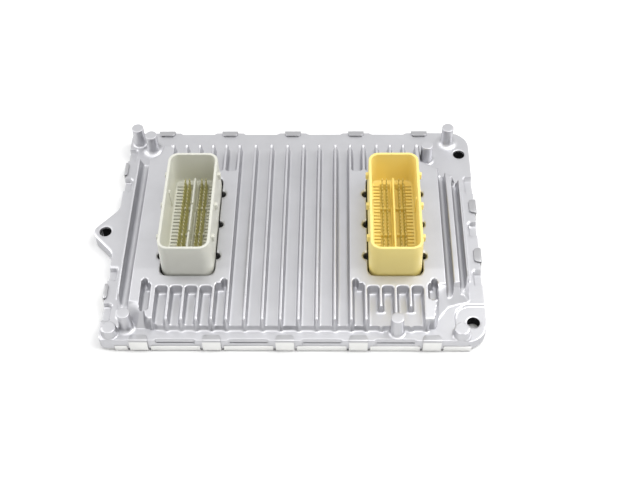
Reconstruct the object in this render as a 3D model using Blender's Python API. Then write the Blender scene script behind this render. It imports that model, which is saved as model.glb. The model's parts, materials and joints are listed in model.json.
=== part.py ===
# Engine control unit: a finned die-cast cover with two tall connector headers,
# a populated circuit board inside it and a sheet base plate whose tabs are crimped over its flange.
# Origin: centre of the base plate's underside. X runs along the length, Y to the rear, Z up. Metres.

import math

import bmesh
import bpy

# Clearance between neighbouring pieces and the depth that joined shapes are sunk into each other
FIT_GAP = 0.0003
SINK = 0.0012

# Cover, seen from above, and where its four edges lie
COVER_LENGTH = 0.194
COVER_DEPTH = 0.1446
LEFT_EDGE = -COVER_LENGTH / 2.0
RIGHT_EDGE = COVER_LENGTH / 2.0
FRONT_EDGE = -COVER_DEPTH / 2.0
REAR_EDGE = COVER_DEPTH / 2.0
RIGHT_CORNER_RADIUS = 0.011
LEFT_CORNER_RADIUS = 0.0035

# Heights above the mounting plane
SHEET_THICKNESS = 0.0008
FLANGE_TOP = 0.0079
GROOVE_FLOOR = 0.011
FIN_TOP = 0.0175

# Raised finned block on the cover, set in from the cover's edges
FRONT_MARGIN = 0.0070
REAR_MARGIN = 0.0178
SIDE_MARGIN = 0.0075
BLOCK_FRONT = FRONT_EDGE + FRONT_MARGIN
BLOCK_REAR = REAR_EDGE - REAR_MARGIN
BLOCK_LEFT = LEFT_EDGE + SIDE_MARGIN
BLOCK_RIGHT = RIGHT_EDGE - SIDE_MARGIN
BLOCK_DRAFT = 0.0007
FRONT_SLOPE_LENGTH = 0.0310
FRONT_SLOPE_START = BLOCK_FRONT + FRONT_SLOPE_LENGTH
FRONT_SLOPE_ANGLE = math.radians(3.4)

# Corners of the block's foot, anticlockwise from the front left: x, y and radius
BLOCK_CORNERS = (
    (BLOCK_LEFT, BLOCK_FRONT + 0.0063, 0.0020),
    (BLOCK_LEFT + 0.0080, BLOCK_FRONT + 0.0023, 0.0020),
    (BLOCK_LEFT + 0.0115, BLOCK_FRONT, 0.0020),
    (BLOCK_RIGHT - 0.0180, BLOCK_FRONT, 0.0020),
    (BLOCK_RIGHT - 0.0165, BLOCK_FRONT + 0.0063, 0.0040),
    (BLOCK_RIGHT - 0.0110, BLOCK_FRONT + 0.0138, 0.0040),
    (BLOCK_RIGHT - 0.0050, BLOCK_FRONT + 0.0158, 0.0020),
    (BLOCK_RIGHT, BLOCK_FRONT + 0.0168, 0.0020),
    (BLOCK_RIGHT, BLOCK_REAR - 0.0275, 0.0030),
    (BLOCK_RIGHT - 0.0155, BLOCK_REAR - 0.0150, 0.0030),
    (BLOCK_RIGHT - 0.0205, BLOCK_REAR, 0.0020),
    (BLOCK_LEFT + 0.0115, BLOCK_REAR, 0.0020),
    (BLOCK_LEFT, BLOCK_REAR - 0.0075, 0.0040),
)

# Connector headers, seen from above, with their margins from the cover's left and right edges
HEADER_WIDTH = 0.0272
HEADER_LENGTH = 0.0664
GREY_HEADER_MARGIN = 0.0290
YELLOW_HEADER_MARGIN = 0.0314
GREY_HEADER_X = LEFT_EDGE + GREY_HEADER_MARGIN + HEADER_WIDTH / 2.0
YELLOW_HEADER_X = RIGHT_EDGE - YELLOW_HEADER_MARGIN - HEADER_WIDTH / 2.0
HEADER_Y = -0.0048

# Cooling fins: left and right groups in line with the headers, and as many between them as there is room for
LEFT_FIN_OFFSET = 0.0158
LEFT_FIN_START = GREY_HEADER_X - LEFT_FIN_OFFSET
LEFT_FIN_PITCH = 0.00748
LEFT_FIN_COUNT = 6
RIGHT_FIN_OFFSET = 0.0227
RIGHT_FIN_START = YELLOW_HEADER_X - RIGHT_FIN_OFFSET
RIGHT_FIN_PITCH = 0.00744
RIGHT_FIN_COUNT = 6
CENTRE_FIN_GAP = 0.0090
NARROWEST_GAP = 0.0050
CENTRE_FIN_START = LEFT_FIN_START + LEFT_FIN_PITCH * (LEFT_FIN_COUNT - 1) + CENTRE_FIN_GAP
CENTRE_FIN_PITCH = 0.00898
CENTRE_FIN_COUNT = 1 + int((RIGHT_FIN_START - CENTRE_FIN_START - NARROWEST_GAP) / CENTRE_FIN_PITCH)
FIN_WIDTH = 0.0019
GROOVE_DRAFT = 0.0006
GROOVE_ROUNDING = 0.0013
NOSE_RADIUS = 0.00105
NOSE_REACH = 0.0006
SHORT_FIN_CUTBACK = 0.005

# Short grooves in front of and behind the flat platforms that the headers stand in
PLATFORM_FRONT_MARGIN = 0.0070
PLATFORM_REAR_MARGIN = 0.0056
PLATFORM_FRONT = HEADER_Y - HEADER_LENGTH / 2.0 - PLATFORM_FRONT_MARGIN
PLATFORM_REAR = HEADER_Y + HEADER_LENGTH / 2.0 + PLATFORM_REAR_MARGIN
POCKET_REACH = 0.0025
LEFT_POCKET_SPACING = 0.0043
RIGHT_POCKET_SPACING = 0.0040
LEFT_POCKET_LENGTH = 0.0140
RIGHT_POCKET_LENGTH = 0.0075
LEFT_POCKET_X = LEFT_FIN_START - LEFT_POCKET_SPACING
RIGHT_POCKET_X = RIGHT_FIN_START + RIGHT_FIN_PITCH * (RIGHT_FIN_COUNT - 1) + RIGHT_POCKET_SPACING
LEFT_POCKET_FRONT = PLATFORM_FRONT - LEFT_POCKET_LENGTH
RIGHT_POCKET_FRONT = PLATFORM_FRONT - RIGHT_POCKET_LENGTH

# Long grooves beside the platforms: centre and width, and how far their ends stay inside the block
LEFT_LONG_GROOVE = (BLOCK_LEFT + 0.0045, 0.0050)
RIGHT_LONG_GROOVES = ((BLOCK_RIGHT - 0.01025, 0.0035), (BLOCK_RIGHT - 0.00335, 0.0033))
LEFT_LONG_GROOVE_REAR = BLOCK_REAR - 0.0095
RIGHT_LONG_GROOVE_REAR = BLOCK_REAR - 0.0185
RIGHT_LONG_GROOVE_STEP = 0.0065
RIGHT_LONG_GROOVE_FRONT = BLOCK_FRONT + 0.0133

# Locating bosses: radius and tops, then x, y and flare at the foot of each
TALL_BOSS_TOP = 0.020
LOW_BOSS_TOP = 0.0128
BOSS_RADIUS = 0.0034
TALL_BOSSES = (
    (LEFT_EDGE + 0.0054, REAR_EDGE - 0.0080, 0.0012),
    (LEFT_EDGE + 0.0137, REAR_EDGE - 0.0136, 0.0042),
    (RIGHT_EDGE - 0.0122, REAR_EDGE - 0.0080, 0.0022),
    (RIGHT_EDGE - 0.0246, REAR_EDGE - 0.0215, 0.0016),
    (YELLOW_HEADER_X, FRONT_EDGE + 0.0057, 0.0014),
    (LEFT_EDGE + 0.0137, FRONT_EDGE + 0.0083, 0.0022),
)
LOW_BOSSES = (
    (LEFT_EDGE + 0.0060, FRONT_EDGE + 0.0053, 0.0014),
    (RIGHT_EDGE - 0.0130, FRONT_EDGE + 0.0051, 0.0010),
)

# Fixing holes for M6 screws, the ear on the left side and the lowered seat at the front right
FIXING_RADIUS = 0.0033
EAR_HOLE = (LEFT_EDGE - 0.0056, -0.0020)
EAR_RADIUS = 0.0060
EAR_REAR = 0.0140
EAR_FRONT = -0.0165
CORNER_HOLES = ((RIGHT_EDGE - 0.0058, REAR_EDGE - 0.0173), (RIGHT_EDGE - 0.0064, FRONT_EDGE + 0.0120))
SEAT_DEPTH = 0.0010
SEAT_LEFT = RIGHT_EDGE - 0.0155
SEAT_REAR = FRONT_EDGE + 0.0221
SEAT_RADIUS = 0.0080

# Shallow pockets in the flange: front and rear edges, then the open-sided ones on the short sides
EDGE_POCKET_DEPTH = 0.0008
EDGE_POCKET_LEDGE = 0.0055
EDGE_POCKET_MARGIN = 0.0089
SIDE_POCKET_LEDGE = 0.0053
SIDE_POCKET_DEPTH = 0.0042
RIGHT_SIDE_POCKETS = ((0.0262, 0.0367), (-0.0045, 0.0039), (-0.0371, -0.0287))
LEFT_SIDE_POCKETS = (
    (REAR_EDGE - 0.0216, REAR_EDGE - 0.0137), (REAR_EDGE - 0.0448, REAR_EDGE - 0.0366),
    (FRONT_EDGE + 0.0378, FRONT_EDGE + 0.0454), (FRONT_EDGE + 0.0123, FRONT_EDGE + 0.0222),
)

# Inside of the cover, within its side walls
SIDE_WALL = 0.0096
END_WALL = 0.0088
CAVITY_LENGTH = COVER_LENGTH - 2.0 * SIDE_WALL
CAVITY_DEPTH = COVER_DEPTH - 2.0 * END_WALL
CAVITY_CHAMFER_X = 0.0105
CAVITY_CHAMFER_Y = 0.0135
CAVITY_RADIUS = 0.004
LOW_ROOF = 0.0058
HIGH_ROOF = 0.0090
PLATFORM_ROOF = 0.0146
BLOCK_WALL = 0.0025
GREY_POCKET_LEFT = GREY_HEADER_X - HEADER_WIDTH / 2.0 - 0.0123
YELLOW_POCKET_RIGHT = YELLOW_HEADER_X + HEADER_WIDTH / 2.0 + 0.0097
PLATFORM_POCKET_RADIUS = 0.0075

# Crimp tabs of the base plate
TAB_WIDTH = 0.0092
TAB_TIP_WIDTH = 0.0060
TAB_LENGTH = 0.0035
TAB_PITCH = 0.0365
TAB_CENTRE = -0.00365
TAB_COUNT = 5
BEND_RADIUS = 0.0006
BEND_THINNING = 0.0001
RIGHT_TABS = (0.0155, -0.0185)
LEFT_TABS = (REAR_EDGE - 0.0291, FRONT_EDGE + 0.0300)
PLATE_SETBACK = 0.0003
NOTCH_WIDTH = 0.0020
NOTCH_DEPTH = 0.0014

# Bead of sealant between cover and base plate
SEAL_WIDTH = 0.0024
SEAL_MARGIN = 0.0015
SEAL_HEIGHT = 0.0012

# Connector headers: shroud, socket, pins, lugs and foot
HEADER_RIM_NARROWING = 0.0004
HEADER_TOP = 0.0377
HEADER_CORNER_RADIUS = 0.0058
SHROUD_WALL = 0.0015
RIM_ROUNDING = 0.0004
SOCKET_LAND = 0.0175
WELL_FLOOR = 0.0145
WELL_HALF_WIDTH = 0.0068
COMB_REACH = 0.0110
COMB_TOOTH = 0.0011
BLADE_THICKNESS = 0.0013
BLADE_TOP = 0.0255
PARTITION_THICKNESS = 0.0026
PIN_PITCH = 0.0023
PIN_COLUMNS = 24
PIN_ROWS = (-0.0056, -0.0033, 0.0033, 0.0056)
PIN_WIDTH = 0.00064
PIN_TOP = 0.0240
WINDOW_GAP = 0.0012
NOTCH_RADIUS = 0.0020
LUG_SPACING = 0.0212
LUG_WIDTH = 0.0022
LUG_REACH = 0.0014
LUG_BOTTOM = 0.0300
LUG_TOP = 0.0338
FOOT_OVERLAP = 0.0016
FOOT_THICKNESS = 0.0022
HEADER_SEAL_WIDTH = 0.0012
HEADER_SEAL_HEIGHT = 0.0011

# Circuit board and its screws
BOARD_BOTTOM = 0.0026
BOARD_THICKNESS = 0.0016
BOARD_MARGIN = 0.0008
POST_RADIUS = 0.0030
SCREW_SHANK_RADIUS = 0.0013
SCREW_HEAD_RADIUS = 0.0027
SCREW_HEAD_HEIGHT = 0.0012
SCREW_TIP = 0.0080
BOARD_SCREWS = (
    (LEFT_EDGE + 0.0170, FRONT_EDGE + 0.0183), (LEFT_EDGE + 0.0170, REAR_EDGE - 0.0283),
    (-0.0040, FRONT_EDGE + 0.0283), (-0.0040, REAR_EDGE - 0.0283),
    (RIGHT_EDGE - 0.0310, FRONT_EDGE + 0.0163), (RIGHT_EDGE - 0.0330, REAR_EDGE - 0.0283),
)

# Heat path from the power parts to the cover
PAD_THICKNESS = 0.0005
DRIVER_HEIGHT = 0.0020
FRONT_ROW_Y = FRONT_EDGE + 0.0178
FRONT_ROW_X = (-0.066, -0.046, -0.026, -0.006, 0.014, 0.034, 0.053)
FRONT_ROW_SIZE = (0.0100, 0.0080)
REAR_ROW_Y = REAR_EDGE - 0.0263
REAR_ROW_X = (-0.062, -0.046, -0.030, 0.014, 0.030, 0.046)
REAR_ROW_SIZE = (0.0066, 0.0066)
CAPACITOR_RADIUS = 0.00315
CAPACITOR_HEIGHT = 0.0080
CAPACITOR_Y = (-0.025, -0.005, 0.015)

# Sides of round shapes
FINE_ARC = 10
COARSE_ARC = 3


def clear_scene():
    for item in list(bpy.data.objects):
        bpy.data.objects.remove(item, do_unlink=True)


def make_material(name, colour, roughness, metallic):
    material = bpy.data.materials.new(name)
    material.use_nodes = True
    shader = material.node_tree.nodes["Principled BSDF"]
    shader.inputs["Base Color"].default_value = (*colour, 1.0)
    shader.inputs["Roughness"].default_value = roughness
    shader.inputs["Metallic"].default_value = metallic
    return material


# Outlines: closed lists of (x, y) points, anticlockwise

def arc_points(centre, radius, start, end, steps):
    return [
        (centre[0] + radius * math.cos(start + (end - start) * step / steps),
         centre[1] + radius * math.sin(start + (end - start) * step / steps))
        for step in range(steps + 1)
    ]


def circle(centre, radius, steps=12):
    return arc_points(centre, radius, 0.0, 2.0 * math.pi, steps)[:-1]


def rounded(corners, steps=COARSE_ARC):
    # each corner is (x, y, radius); a radius of zero keeps the corner sharp
    outline = []
    count = len(corners)
    for index, (x, y, radius) in enumerate(corners):
        before = corners[index - 1]
        after = corners[(index + 1) % count]
        if radius <= 0.0:
            outline.append((x, y))
            continue
        in_x, in_y = before[0] - x, before[1] - y
        out_x, out_y = after[0] - x, after[1] - y
        in_length = math.hypot(in_x, in_y)
        out_length = math.hypot(out_x, out_y)
        in_x, in_y = in_x / in_length, in_y / in_length
        out_x, out_y = out_x / out_length, out_y / out_length
        half = math.acos(max(-1.0, min(1.0, in_x * out_x + in_y * out_y))) / 2.0
        reach = radius / math.tan(half)
        middle_x, middle_y = in_x + out_x, in_y + out_y
        middle = math.hypot(middle_x, middle_y)
        distance = radius / math.sin(half)
        centre = (x + middle_x / middle * distance, y + middle_y / middle * distance)
        first = math.atan2(y + in_y * reach - centre[1], x + in_x * reach - centre[0])
        last = math.atan2(y + out_y * reach - centre[1], x + out_x * reach - centre[0])
        turn = (last - first + math.pi) % (2.0 * math.pi) - math.pi
        outline.extend(arc_points(centre, radius, first, first + turn, steps))
    return outline


def rounded_box(x0, x1, y0, y1, radius, steps=COARSE_ARC):
    return rounded(((x0, y0, radius), (x1, y0, radius), (x1, y1, radius), (x0, y1, radius)), steps)


def box_outline(x0, x1, y0, y1):
    return [(x0, y0), (x1, y0), (x1, y1), (x0, y1)]


def offset(outline, distance):
    # moves every edge outwards by the distance, keeping the number of points
    moved = []
    count = len(outline)
    for index, (x, y) in enumerate(outline):
        before = outline[index - 1]
        after = outline[(index + 1) % count]
        first_x, first_y = x - before[0], y - before[1]
        second_x, second_y = after[0] - x, after[1] - y
        first = math.hypot(first_x, first_y)
        second = math.hypot(second_x, second_y)
        normal_a = (first_y / first, -first_x / first)
        normal_b = (second_y / second, -second_x / second)
        share = 1.0 + normal_a[0] * normal_b[0] + normal_a[1] * normal_b[1]
        moved.append((
            x + (normal_a[0] + normal_b[0]) * distance / share,
            y + (normal_a[1] + normal_b[1]) * distance / share,
        ))
    return moved


# Solids

def add_loft(mesh, sections):
    # sections are (outline, z) from bottom to top, with the same number of points in each
    rings = [[mesh.verts.new((x, y, z)) for x, y in outline] for outline, z in sections]
    for lower, upper in zip(rings, rings[1:]):
        for index in range(len(lower)):
            after = (index + 1) % len(lower)
            mesh.faces.new((lower[index], lower[after], upper[after], upper[index]))
    mesh.faces.new(list(reversed(rings[0])))
    mesh.faces.new(rings[-1])


def add_ring(mesh, outer, inner, bottom, top):
    # a band of constant section between two outlines with matching points
    loops = [
        [mesh.verts.new((x, y, z)) for x, y in outline]
        for outline, z in ((outer, bottom), (outer, top), (inner, top), (inner, bottom))
    ]
    for side in range(4):
        first = loops[side]
        second = loops[(side + 1) % 4]
        for index in range(len(first)):
            after = (index + 1) % len(first)
            mesh.faces.new((first[index], first[after], second[after], second[index]))


def object_from(mesh, name, material=None):
    data = bpy.data.meshes.new(name)
    mesh.to_mesh(data)
    mesh.free()
    item = bpy.data.objects.new(name, data)
    bpy.context.scene.collection.objects.link(item)
    if material is not None:
        data.materials.append(material)
    return item


def loft(name, sections, material=None):
    mesh = bmesh.new()
    add_loft(mesh, sections)
    return object_from(mesh, name, material)


def lofts(name, solids):
    # several separate lofts in one object, used as one cutter or one addition
    mesh = bmesh.new()
    for sections in solids:
        add_loft(mesh, sections)
    return object_from(mesh, name)


def prism(outline, bottom, top):
    return [(outline, bottom), (outline, top)]


def combine(target, tool, operation):
    modifier = target.modifiers.new(operation, "BOOLEAN")
    modifier.operation = operation
    modifier.solver = "EXACT"
    modifier.object = tool
    bpy.context.view_layer.update()
    depsgraph = bpy.context.evaluated_depsgraph_get()
    result = bpy.data.meshes.new_from_object(target.evaluated_get(depsgraph))
    target.modifiers.clear()
    spare = target.data
    target.data = result
    bpy.data.meshes.remove(spare)
    bpy.data.objects.remove(tool, do_unlink=True)


def join(target, tool):
    combine(target, tool, "UNION")


def cut(target, tool):
    combine(target, tool, "DIFFERENCE")


# Shared outlines

def cover_side_outline():
    half_x = COVER_LENGTH / 2.0
    half_y = COVER_DEPTH / 2.0
    return rounded((
        (-half_x, -half_y, LEFT_CORNER_RADIUS),
        (half_x, -half_y, RIGHT_CORNER_RADIUS),
        (half_x, half_y, RIGHT_CORNER_RADIUS),
        (-half_x, half_y, LEFT_CORNER_RADIUS),
    ), steps=5)


def ear_outline():
    # two tangents from the cover's left side to a round end about the fixing hole
    root_x = -COVER_LENGTH / 2.0
    inner_x = root_x + 3.0 * SINK
    hole_x, hole_y = EAR_HOLE
    rear = math.hypot(root_x - hole_x, EAR_REAR - hole_y)
    front = math.hypot(root_x - hole_x, EAR_FRONT - hole_y)
    rear_angle = math.atan2(EAR_REAR - hole_y, root_x - hole_x) + math.acos(EAR_RADIUS / rear)
    front_angle = math.atan2(EAR_FRONT - hole_y, root_x - hole_x) - math.acos(EAR_RADIUS / front)
    round_end = arc_points(EAR_HOLE, EAR_RADIUS, rear_angle, front_angle + 2.0 * math.pi, FINE_ARC)
    return [(inner_x, EAR_REAR + 2.0 * SINK), (root_x, EAR_REAR), *round_end,
            (root_x, EAR_FRONT), (inner_x, EAR_FRONT - 2.0 * SINK)]


def block_outline(inset=0.0):
    # foot of the raised block, with its rear right corner cut off towards the fixing hole
    sharp = offset([corner[:2] for corner in BLOCK_CORNERS], -inset)
    radii = [max(corner[2] - inset, 0.0004) for corner in BLOCK_CORNERS]
    return rounded([(*point, radius) for point, radius in zip(sharp, radii)], steps=2)


def cavity_outline():
    # both right corners are cut off to leave metal round the fixing holes
    half_x = CAVITY_LENGTH / 2.0
    half_y = CAVITY_DEPTH / 2.0
    return rounded((
        (-half_x, -half_y, CAVITY_RADIUS),
        (half_x - CAVITY_CHAMFER_X, -half_y, CAVITY_RADIUS),
        (half_x, -half_y + CAVITY_CHAMFER_Y, CAVITY_RADIUS),
        (half_x, half_y - 1.5 * CAVITY_CHAMFER_Y, CAVITY_RADIUS),
        (half_x - CAVITY_CHAMFER_X, half_y, CAVITY_RADIUS),
        (-half_x, half_y, CAVITY_RADIUS),
    ), steps=3)


def header_outline(centre_x, grow=0.0, steps=3):
    half_x = HEADER_WIDTH / 2.0 + grow
    half_y = HEADER_LENGTH / 2.0 + grow
    return rounded_box(centre_x - half_x, centre_x + half_x, HEADER_Y - half_y, HEADER_Y + half_y,
                       max(HEADER_CORNER_RADIUS + grow, 0.001), steps)


def lug_places():
    return [HEADER_Y + LUG_SPACING * step for step in (-1, 0, 1)]


def fin_positions(start, pitch, count):
    return [start + pitch * step for step in range(count)]


LEFT_FINS = fin_positions(LEFT_FIN_START, LEFT_FIN_PITCH, LEFT_FIN_COUNT)
CENTRE_FINS = fin_positions(CENTRE_FIN_START, CENTRE_FIN_PITCH, CENTRE_FIN_COUNT)
RIGHT_FINS = fin_positions(RIGHT_FIN_START, RIGHT_FIN_PITCH, RIGHT_FIN_COUNT)
COVER_BOTTOM = SHEET_THICKNESS + FIT_GAP
BOARD_TOP = BOARD_BOTTOM + BOARD_THICKNESS
PART_BOTTOM = BOARD_TOP + FIT_GAP
PAD_BOTTOM = PART_BOTTOM + DRIVER_HEIGHT + FIT_GAP
PEDESTAL_BOTTOM = PAD_BOTTOM + PAD_THICKNESS + FIT_GAP


# Cover

def groove(x, width, front, rear, front_round=False, rear_round=False):
    # a channel with drafted flanks and a rounded floor, each end open or round in plan
    def plan(half, shrink):
        low = front + shrink if front_round else front
        high = rear - shrink if rear_round else rear
        points = []
        if front_round:
            points += arc_points((x, low + half), half, math.pi, 2.0 * math.pi, COARSE_ARC)
        else:
            points += [(x - half, low), (x + half, low)]
        if rear_round:
            points += arc_points((x, high - half), half, 0.0, math.pi, COARSE_ARC)
        else:
            points += [(x + half, high), (x - half, high)]
        return points
    half = width / 2.0
    draft = min(GROOVE_DRAFT, half * 0.2)
    shoulder = half - draft
    # a narrow groove takes a smaller floor radius
    radius = min(GROOVE_ROUNDING, shoulder * 0.7)
    return [
        (plan(shoulder - radius, draft + radius), GROOVE_FLOOR),
        (plan(shoulder, draft), GROOVE_FLOOR + radius),
        (plan(half, 0.0), FIN_TOP),
        (plan(half, 0.0), FIN_TOP + SINK),
    ]


def groove_list():
    beyond_front = BLOCK_FRONT - 4.0 * SINK
    beyond_rear = BLOCK_REAR + 4.0 * SINK
    grooves = []
    for fins in (LEFT_FINS, RIGHT_FINS):
        width = fins[1] - fins[0] - FIN_WIDTH
        for left, right in zip(fins, fins[1:]):
            middle = (left + right) / 2.0
            edge = left == RIGHT_FINS[0] or right == LEFT_FINS[-1]
            rear_end = PLATFORM_FRONT + (POCKET_REACH if edge else 0.0)
            grooves.append(groove(middle, width, beyond_front, rear_end, rear_round=True))
            grooves.append(groove(middle, width, PLATFORM_REAR, beyond_rear, front_round=True))
    side_width = LEFT_FIN_PITCH - FIN_WIDTH
    grooves.append(groove(LEFT_POCKET_X, side_width * 0.8, LEFT_POCKET_FRONT,
                          PLATFORM_FRONT + POCKET_REACH, True, True))
    grooves.append(groove(RIGHT_POCKET_X, side_width * 0.8, RIGHT_POCKET_FRONT,
                          PLATFORM_FRONT + POCKET_REACH, True, True))
    long_fins = [LEFT_FINS[-1], *CENTRE_FINS, RIGHT_FINS[0]]
    for left, right in zip(long_fins, long_fins[1:]):
        width = right - left - FIN_WIDTH
        grooves.append(groove((left + right) / 2.0, width, beyond_front, beyond_rear))
    x, width = LEFT_LONG_GROOVE
    grooves.append(groove(x, width, beyond_front, LEFT_LONG_GROOVE_REAR, rear_round=True))
    for step, (x, width) in enumerate(RIGHT_LONG_GROOVES):
        rear = RIGHT_LONG_GROOVE_REAR - RIGHT_LONG_GROOVE_STEP * step
        grooves.append(groove(x, width, RIGHT_LONG_GROOVE_FRONT - 4.0 * SINK, rear, rear_round=True))
    return grooves


def add_block(cover):
    foot = block_outline()
    join(cover, loft("raised_block", [
        (foot, FLANGE_TOP - 2.0 * SINK),
        (foot, FLANGE_TOP + BLOCK_DRAFT),
        (block_outline(BLOCK_DRAFT), FIN_TOP - BLOCK_DRAFT),
        (block_outline(2.0 * BLOCK_DRAFT), FIN_TOP),
    ]))
    noses = []
    for x in (*LEFT_FINS, *CENTRE_FINS, *RIGHT_FINS):
        centre = (x, BLOCK_FRONT + NOSE_RADIUS - NOSE_REACH)
        noses.append([
            (circle(centre, NOSE_RADIUS + BLOCK_DRAFT / 2.0, 8), FLANGE_TOP - SINK),
            (circle(centre, NOSE_RADIUS - BLOCK_DRAFT / 2.0, 8), FIN_TOP - BLOCK_DRAFT / 3.0),
        ])
    join(cover, lofts("fin_noses", noses))


def slope_front(cover):
    # planes the front third of the block down towards its front edge
    reach = BLOCK_FRONT - 6.0 * SINK - FRONT_SLOPE_START
    drop = reach * math.tan(FRONT_SLOPE_ANGLE)
    half_x = COVER_LENGTH
    mesh = bmesh.new()
    corners = {
        "back": (FRONT_SLOPE_START, FIN_TOP),
        "top_back": (FRONT_SLOPE_START, FIN_TOP + 4.0 * SINK),
        "top_front": (FRONT_SLOPE_START + reach, FIN_TOP + 4.0 * SINK),
        "front": (FRONT_SLOPE_START + reach, FIN_TOP + drop),
    }
    ends = [
        [mesh.verts.new((x, y, z)) for y, z in corners.values()]
        for x in (-half_x, half_x)
    ]
    mesh.faces.new(ends[0])
    mesh.faces.new(list(reversed(ends[1])))
    for index in range(len(corners)):
        after = (index + 1) % len(corners)
        mesh.faces.new((ends[0][after], ends[0][index], ends[1][index], ends[1][after]))
    bmesh.ops.recalc_face_normals(mesh, faces=mesh.faces[:])
    cut(cover, object_from(mesh, "slope_cutter"))


def cut_grooves(cover):
    grooves = groove_list()
    # neighbours never touch each other, so all of them are one cutter
    cut(cover, lofts("groove_cutter", grooves))
    # the third and fifth fins of the right group start further back
    short = []
    for x in (RIGHT_FINS[2], RIGHT_FINS[4]):
        half = RIGHT_FIN_PITCH / 2.0
        outline = box_outline(x - half, x + half, BLOCK_FRONT - 3.0 * SINK, BLOCK_FRONT + SHORT_FIN_CUTBACK)
        short.append(prism(outline, GROOVE_FLOOR + GROOVE_ROUNDING * 0.15, FIN_TOP + SINK))
    cut(cover, lofts("short_fin_cutter", short))


def add_bosses(cover):
    for top, places in ((TALL_BOSS_TOP, TALL_BOSSES), (LOW_BOSS_TOP, LOW_BOSSES)):
        for x, y, flare in places:
            join(cover, loft("locating_boss", boss((x, y), BOSS_RADIUS, top, flare)))


def boss(centre, radius, top, flare):
    chamfer = radius * 0.12
    base = FLANGE_TOP
    return [
        (circle(centre, radius + flare), base - SINK),
        (circle(centre, radius + flare), base + flare * 0.1),
        (circle(centre, radius + flare * 0.35), base + flare * 0.4),
        (circle(centre, radius + chamfer * 0.5), base + flare),
        (circle(centre, radius), top - chamfer),
        (circle(centre, radius - chamfer), top),
    ]


def cut_windows(cover):
    for centre_x in (GREY_HEADER_X, YELLOW_HEADER_X):
        window = header_outline(centre_x, WINDOW_GAP)
        cut(cover, loft("window_cutter", prism(window, 0.0, FIN_TOP + SINK)))
        half = HEADER_WIDTH / 2.0 + WINDOW_GAP
        notches = [
            prism(circle((centre_x + side * half, y), NOTCH_RADIUS, 8), 0.0, FIN_TOP + SINK)
            for side in (-1, 1) for y in lug_places()
        ]
        cut(cover, lofts("notch_cutter", notches))


def tab_places():
    # (outward direction, position along the edge) of every crimp tab
    places = []
    for step in range(TAB_COUNT):
        x = TAB_CENTRE + TAB_PITCH * (step - (TAB_COUNT - 1) / 2.0)
        places.append(("front", x))
        places.append(("rear", x))
    places += [("right", y) for y in RIGHT_TABS]
    places += [("left", y) for y in LEFT_TABS]
    return places


def cut_flange(cover):
    half_x = COVER_LENGTH / 2.0
    half_y = COVER_DEPTH / 2.0
    pockets = []
    for step in range(TAB_COUNT - 1):
        left = TAB_CENTRE + TAB_PITCH * (step - (TAB_COUNT - 1) / 2.0) + EDGE_POCKET_MARGIN
        right = left + TAB_PITCH - 2.0 * EDGE_POCKET_MARGIN
        for sign in (-1, 1):
            inner = sign * (half_y - EDGE_POCKET_DEPTH)
            outer = sign * (half_y + SINK)
            slant = EDGE_POCKET_DEPTH + SINK
            points = [(left, inner), (left - slant, outer), (right + slant, outer), (right, inner)]
            points = points if sign < 0 else list(reversed(points))
            pockets.append(prism(points, EDGE_POCKET_LEDGE, FLANGE_TOP + SINK))
    for sign, ranges in ((1, RIGHT_SIDE_POCKETS), (-1, LEFT_SIDE_POCKETS)):
        for low, high in ranges:
            inner = sign * (half_x - SIDE_POCKET_DEPTH)
            outer = sign * (half_x + 2.0 * SINK)
            outline = rounded_box(min(inner, outer), max(inner, outer), low, high, SINK, 3)
            pockets.append(prism(outline, SIDE_POCKET_LEDGE, FLANGE_TOP + SINK))
    seat = rounded_box(SEAT_LEFT, half_x + 6.0 * SINK, -half_y - 6.0 * SINK, SEAT_REAR, SEAT_RADIUS, 5)
    cut(cover, lofts("flange_pocket_cutter", pockets))
    cut(cover, loft("seat_cutter", prism(seat, FLANGE_TOP - SEAT_DEPTH, FLANGE_TOP + SINK)))
    holes = [prism(circle(place, FIXING_RADIUS, 16), -SINK, FLANGE_TOP + SINK)
             for place in (EAR_HOLE, *CORNER_HOLES)]
    cut(cover, lofts("fixing_hole_cutter", holes))


def cut_cavities(cover):
    # low under the flange, higher under the fins and highest round the headers
    cut(cover, loft("low_cavity", prism(cavity_outline(), -SINK, LOW_ROOF)))
    cut(cover, loft("high_cavity", prism(block_outline(BLOCK_WALL), LOW_ROOF - SINK, HIGH_ROOF)))
    side = HEADER_WIDTH / 2.0 + WINDOW_GAP + FOOT_OVERLAP + 1.5 * FIT_GAP
    end = HEADER_LENGTH / 2.0 + WINDOW_GAP + FOOT_OVERLAP + 1.5 * FIT_GAP
    for left, right in (
        (GREY_POCKET_LEFT, GREY_HEADER_X + side),
        (YELLOW_HEADER_X - side, YELLOW_POCKET_RIGHT),
    ):
        pocket = rounded_box(left, right, HEADER_Y - end, HEADER_Y + end, PLATFORM_POCKET_RADIUS)
        cut(cover, loft("platform_cavity", prism(pocket, HIGH_ROOF - SINK, PLATFORM_ROOF)))


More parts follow.
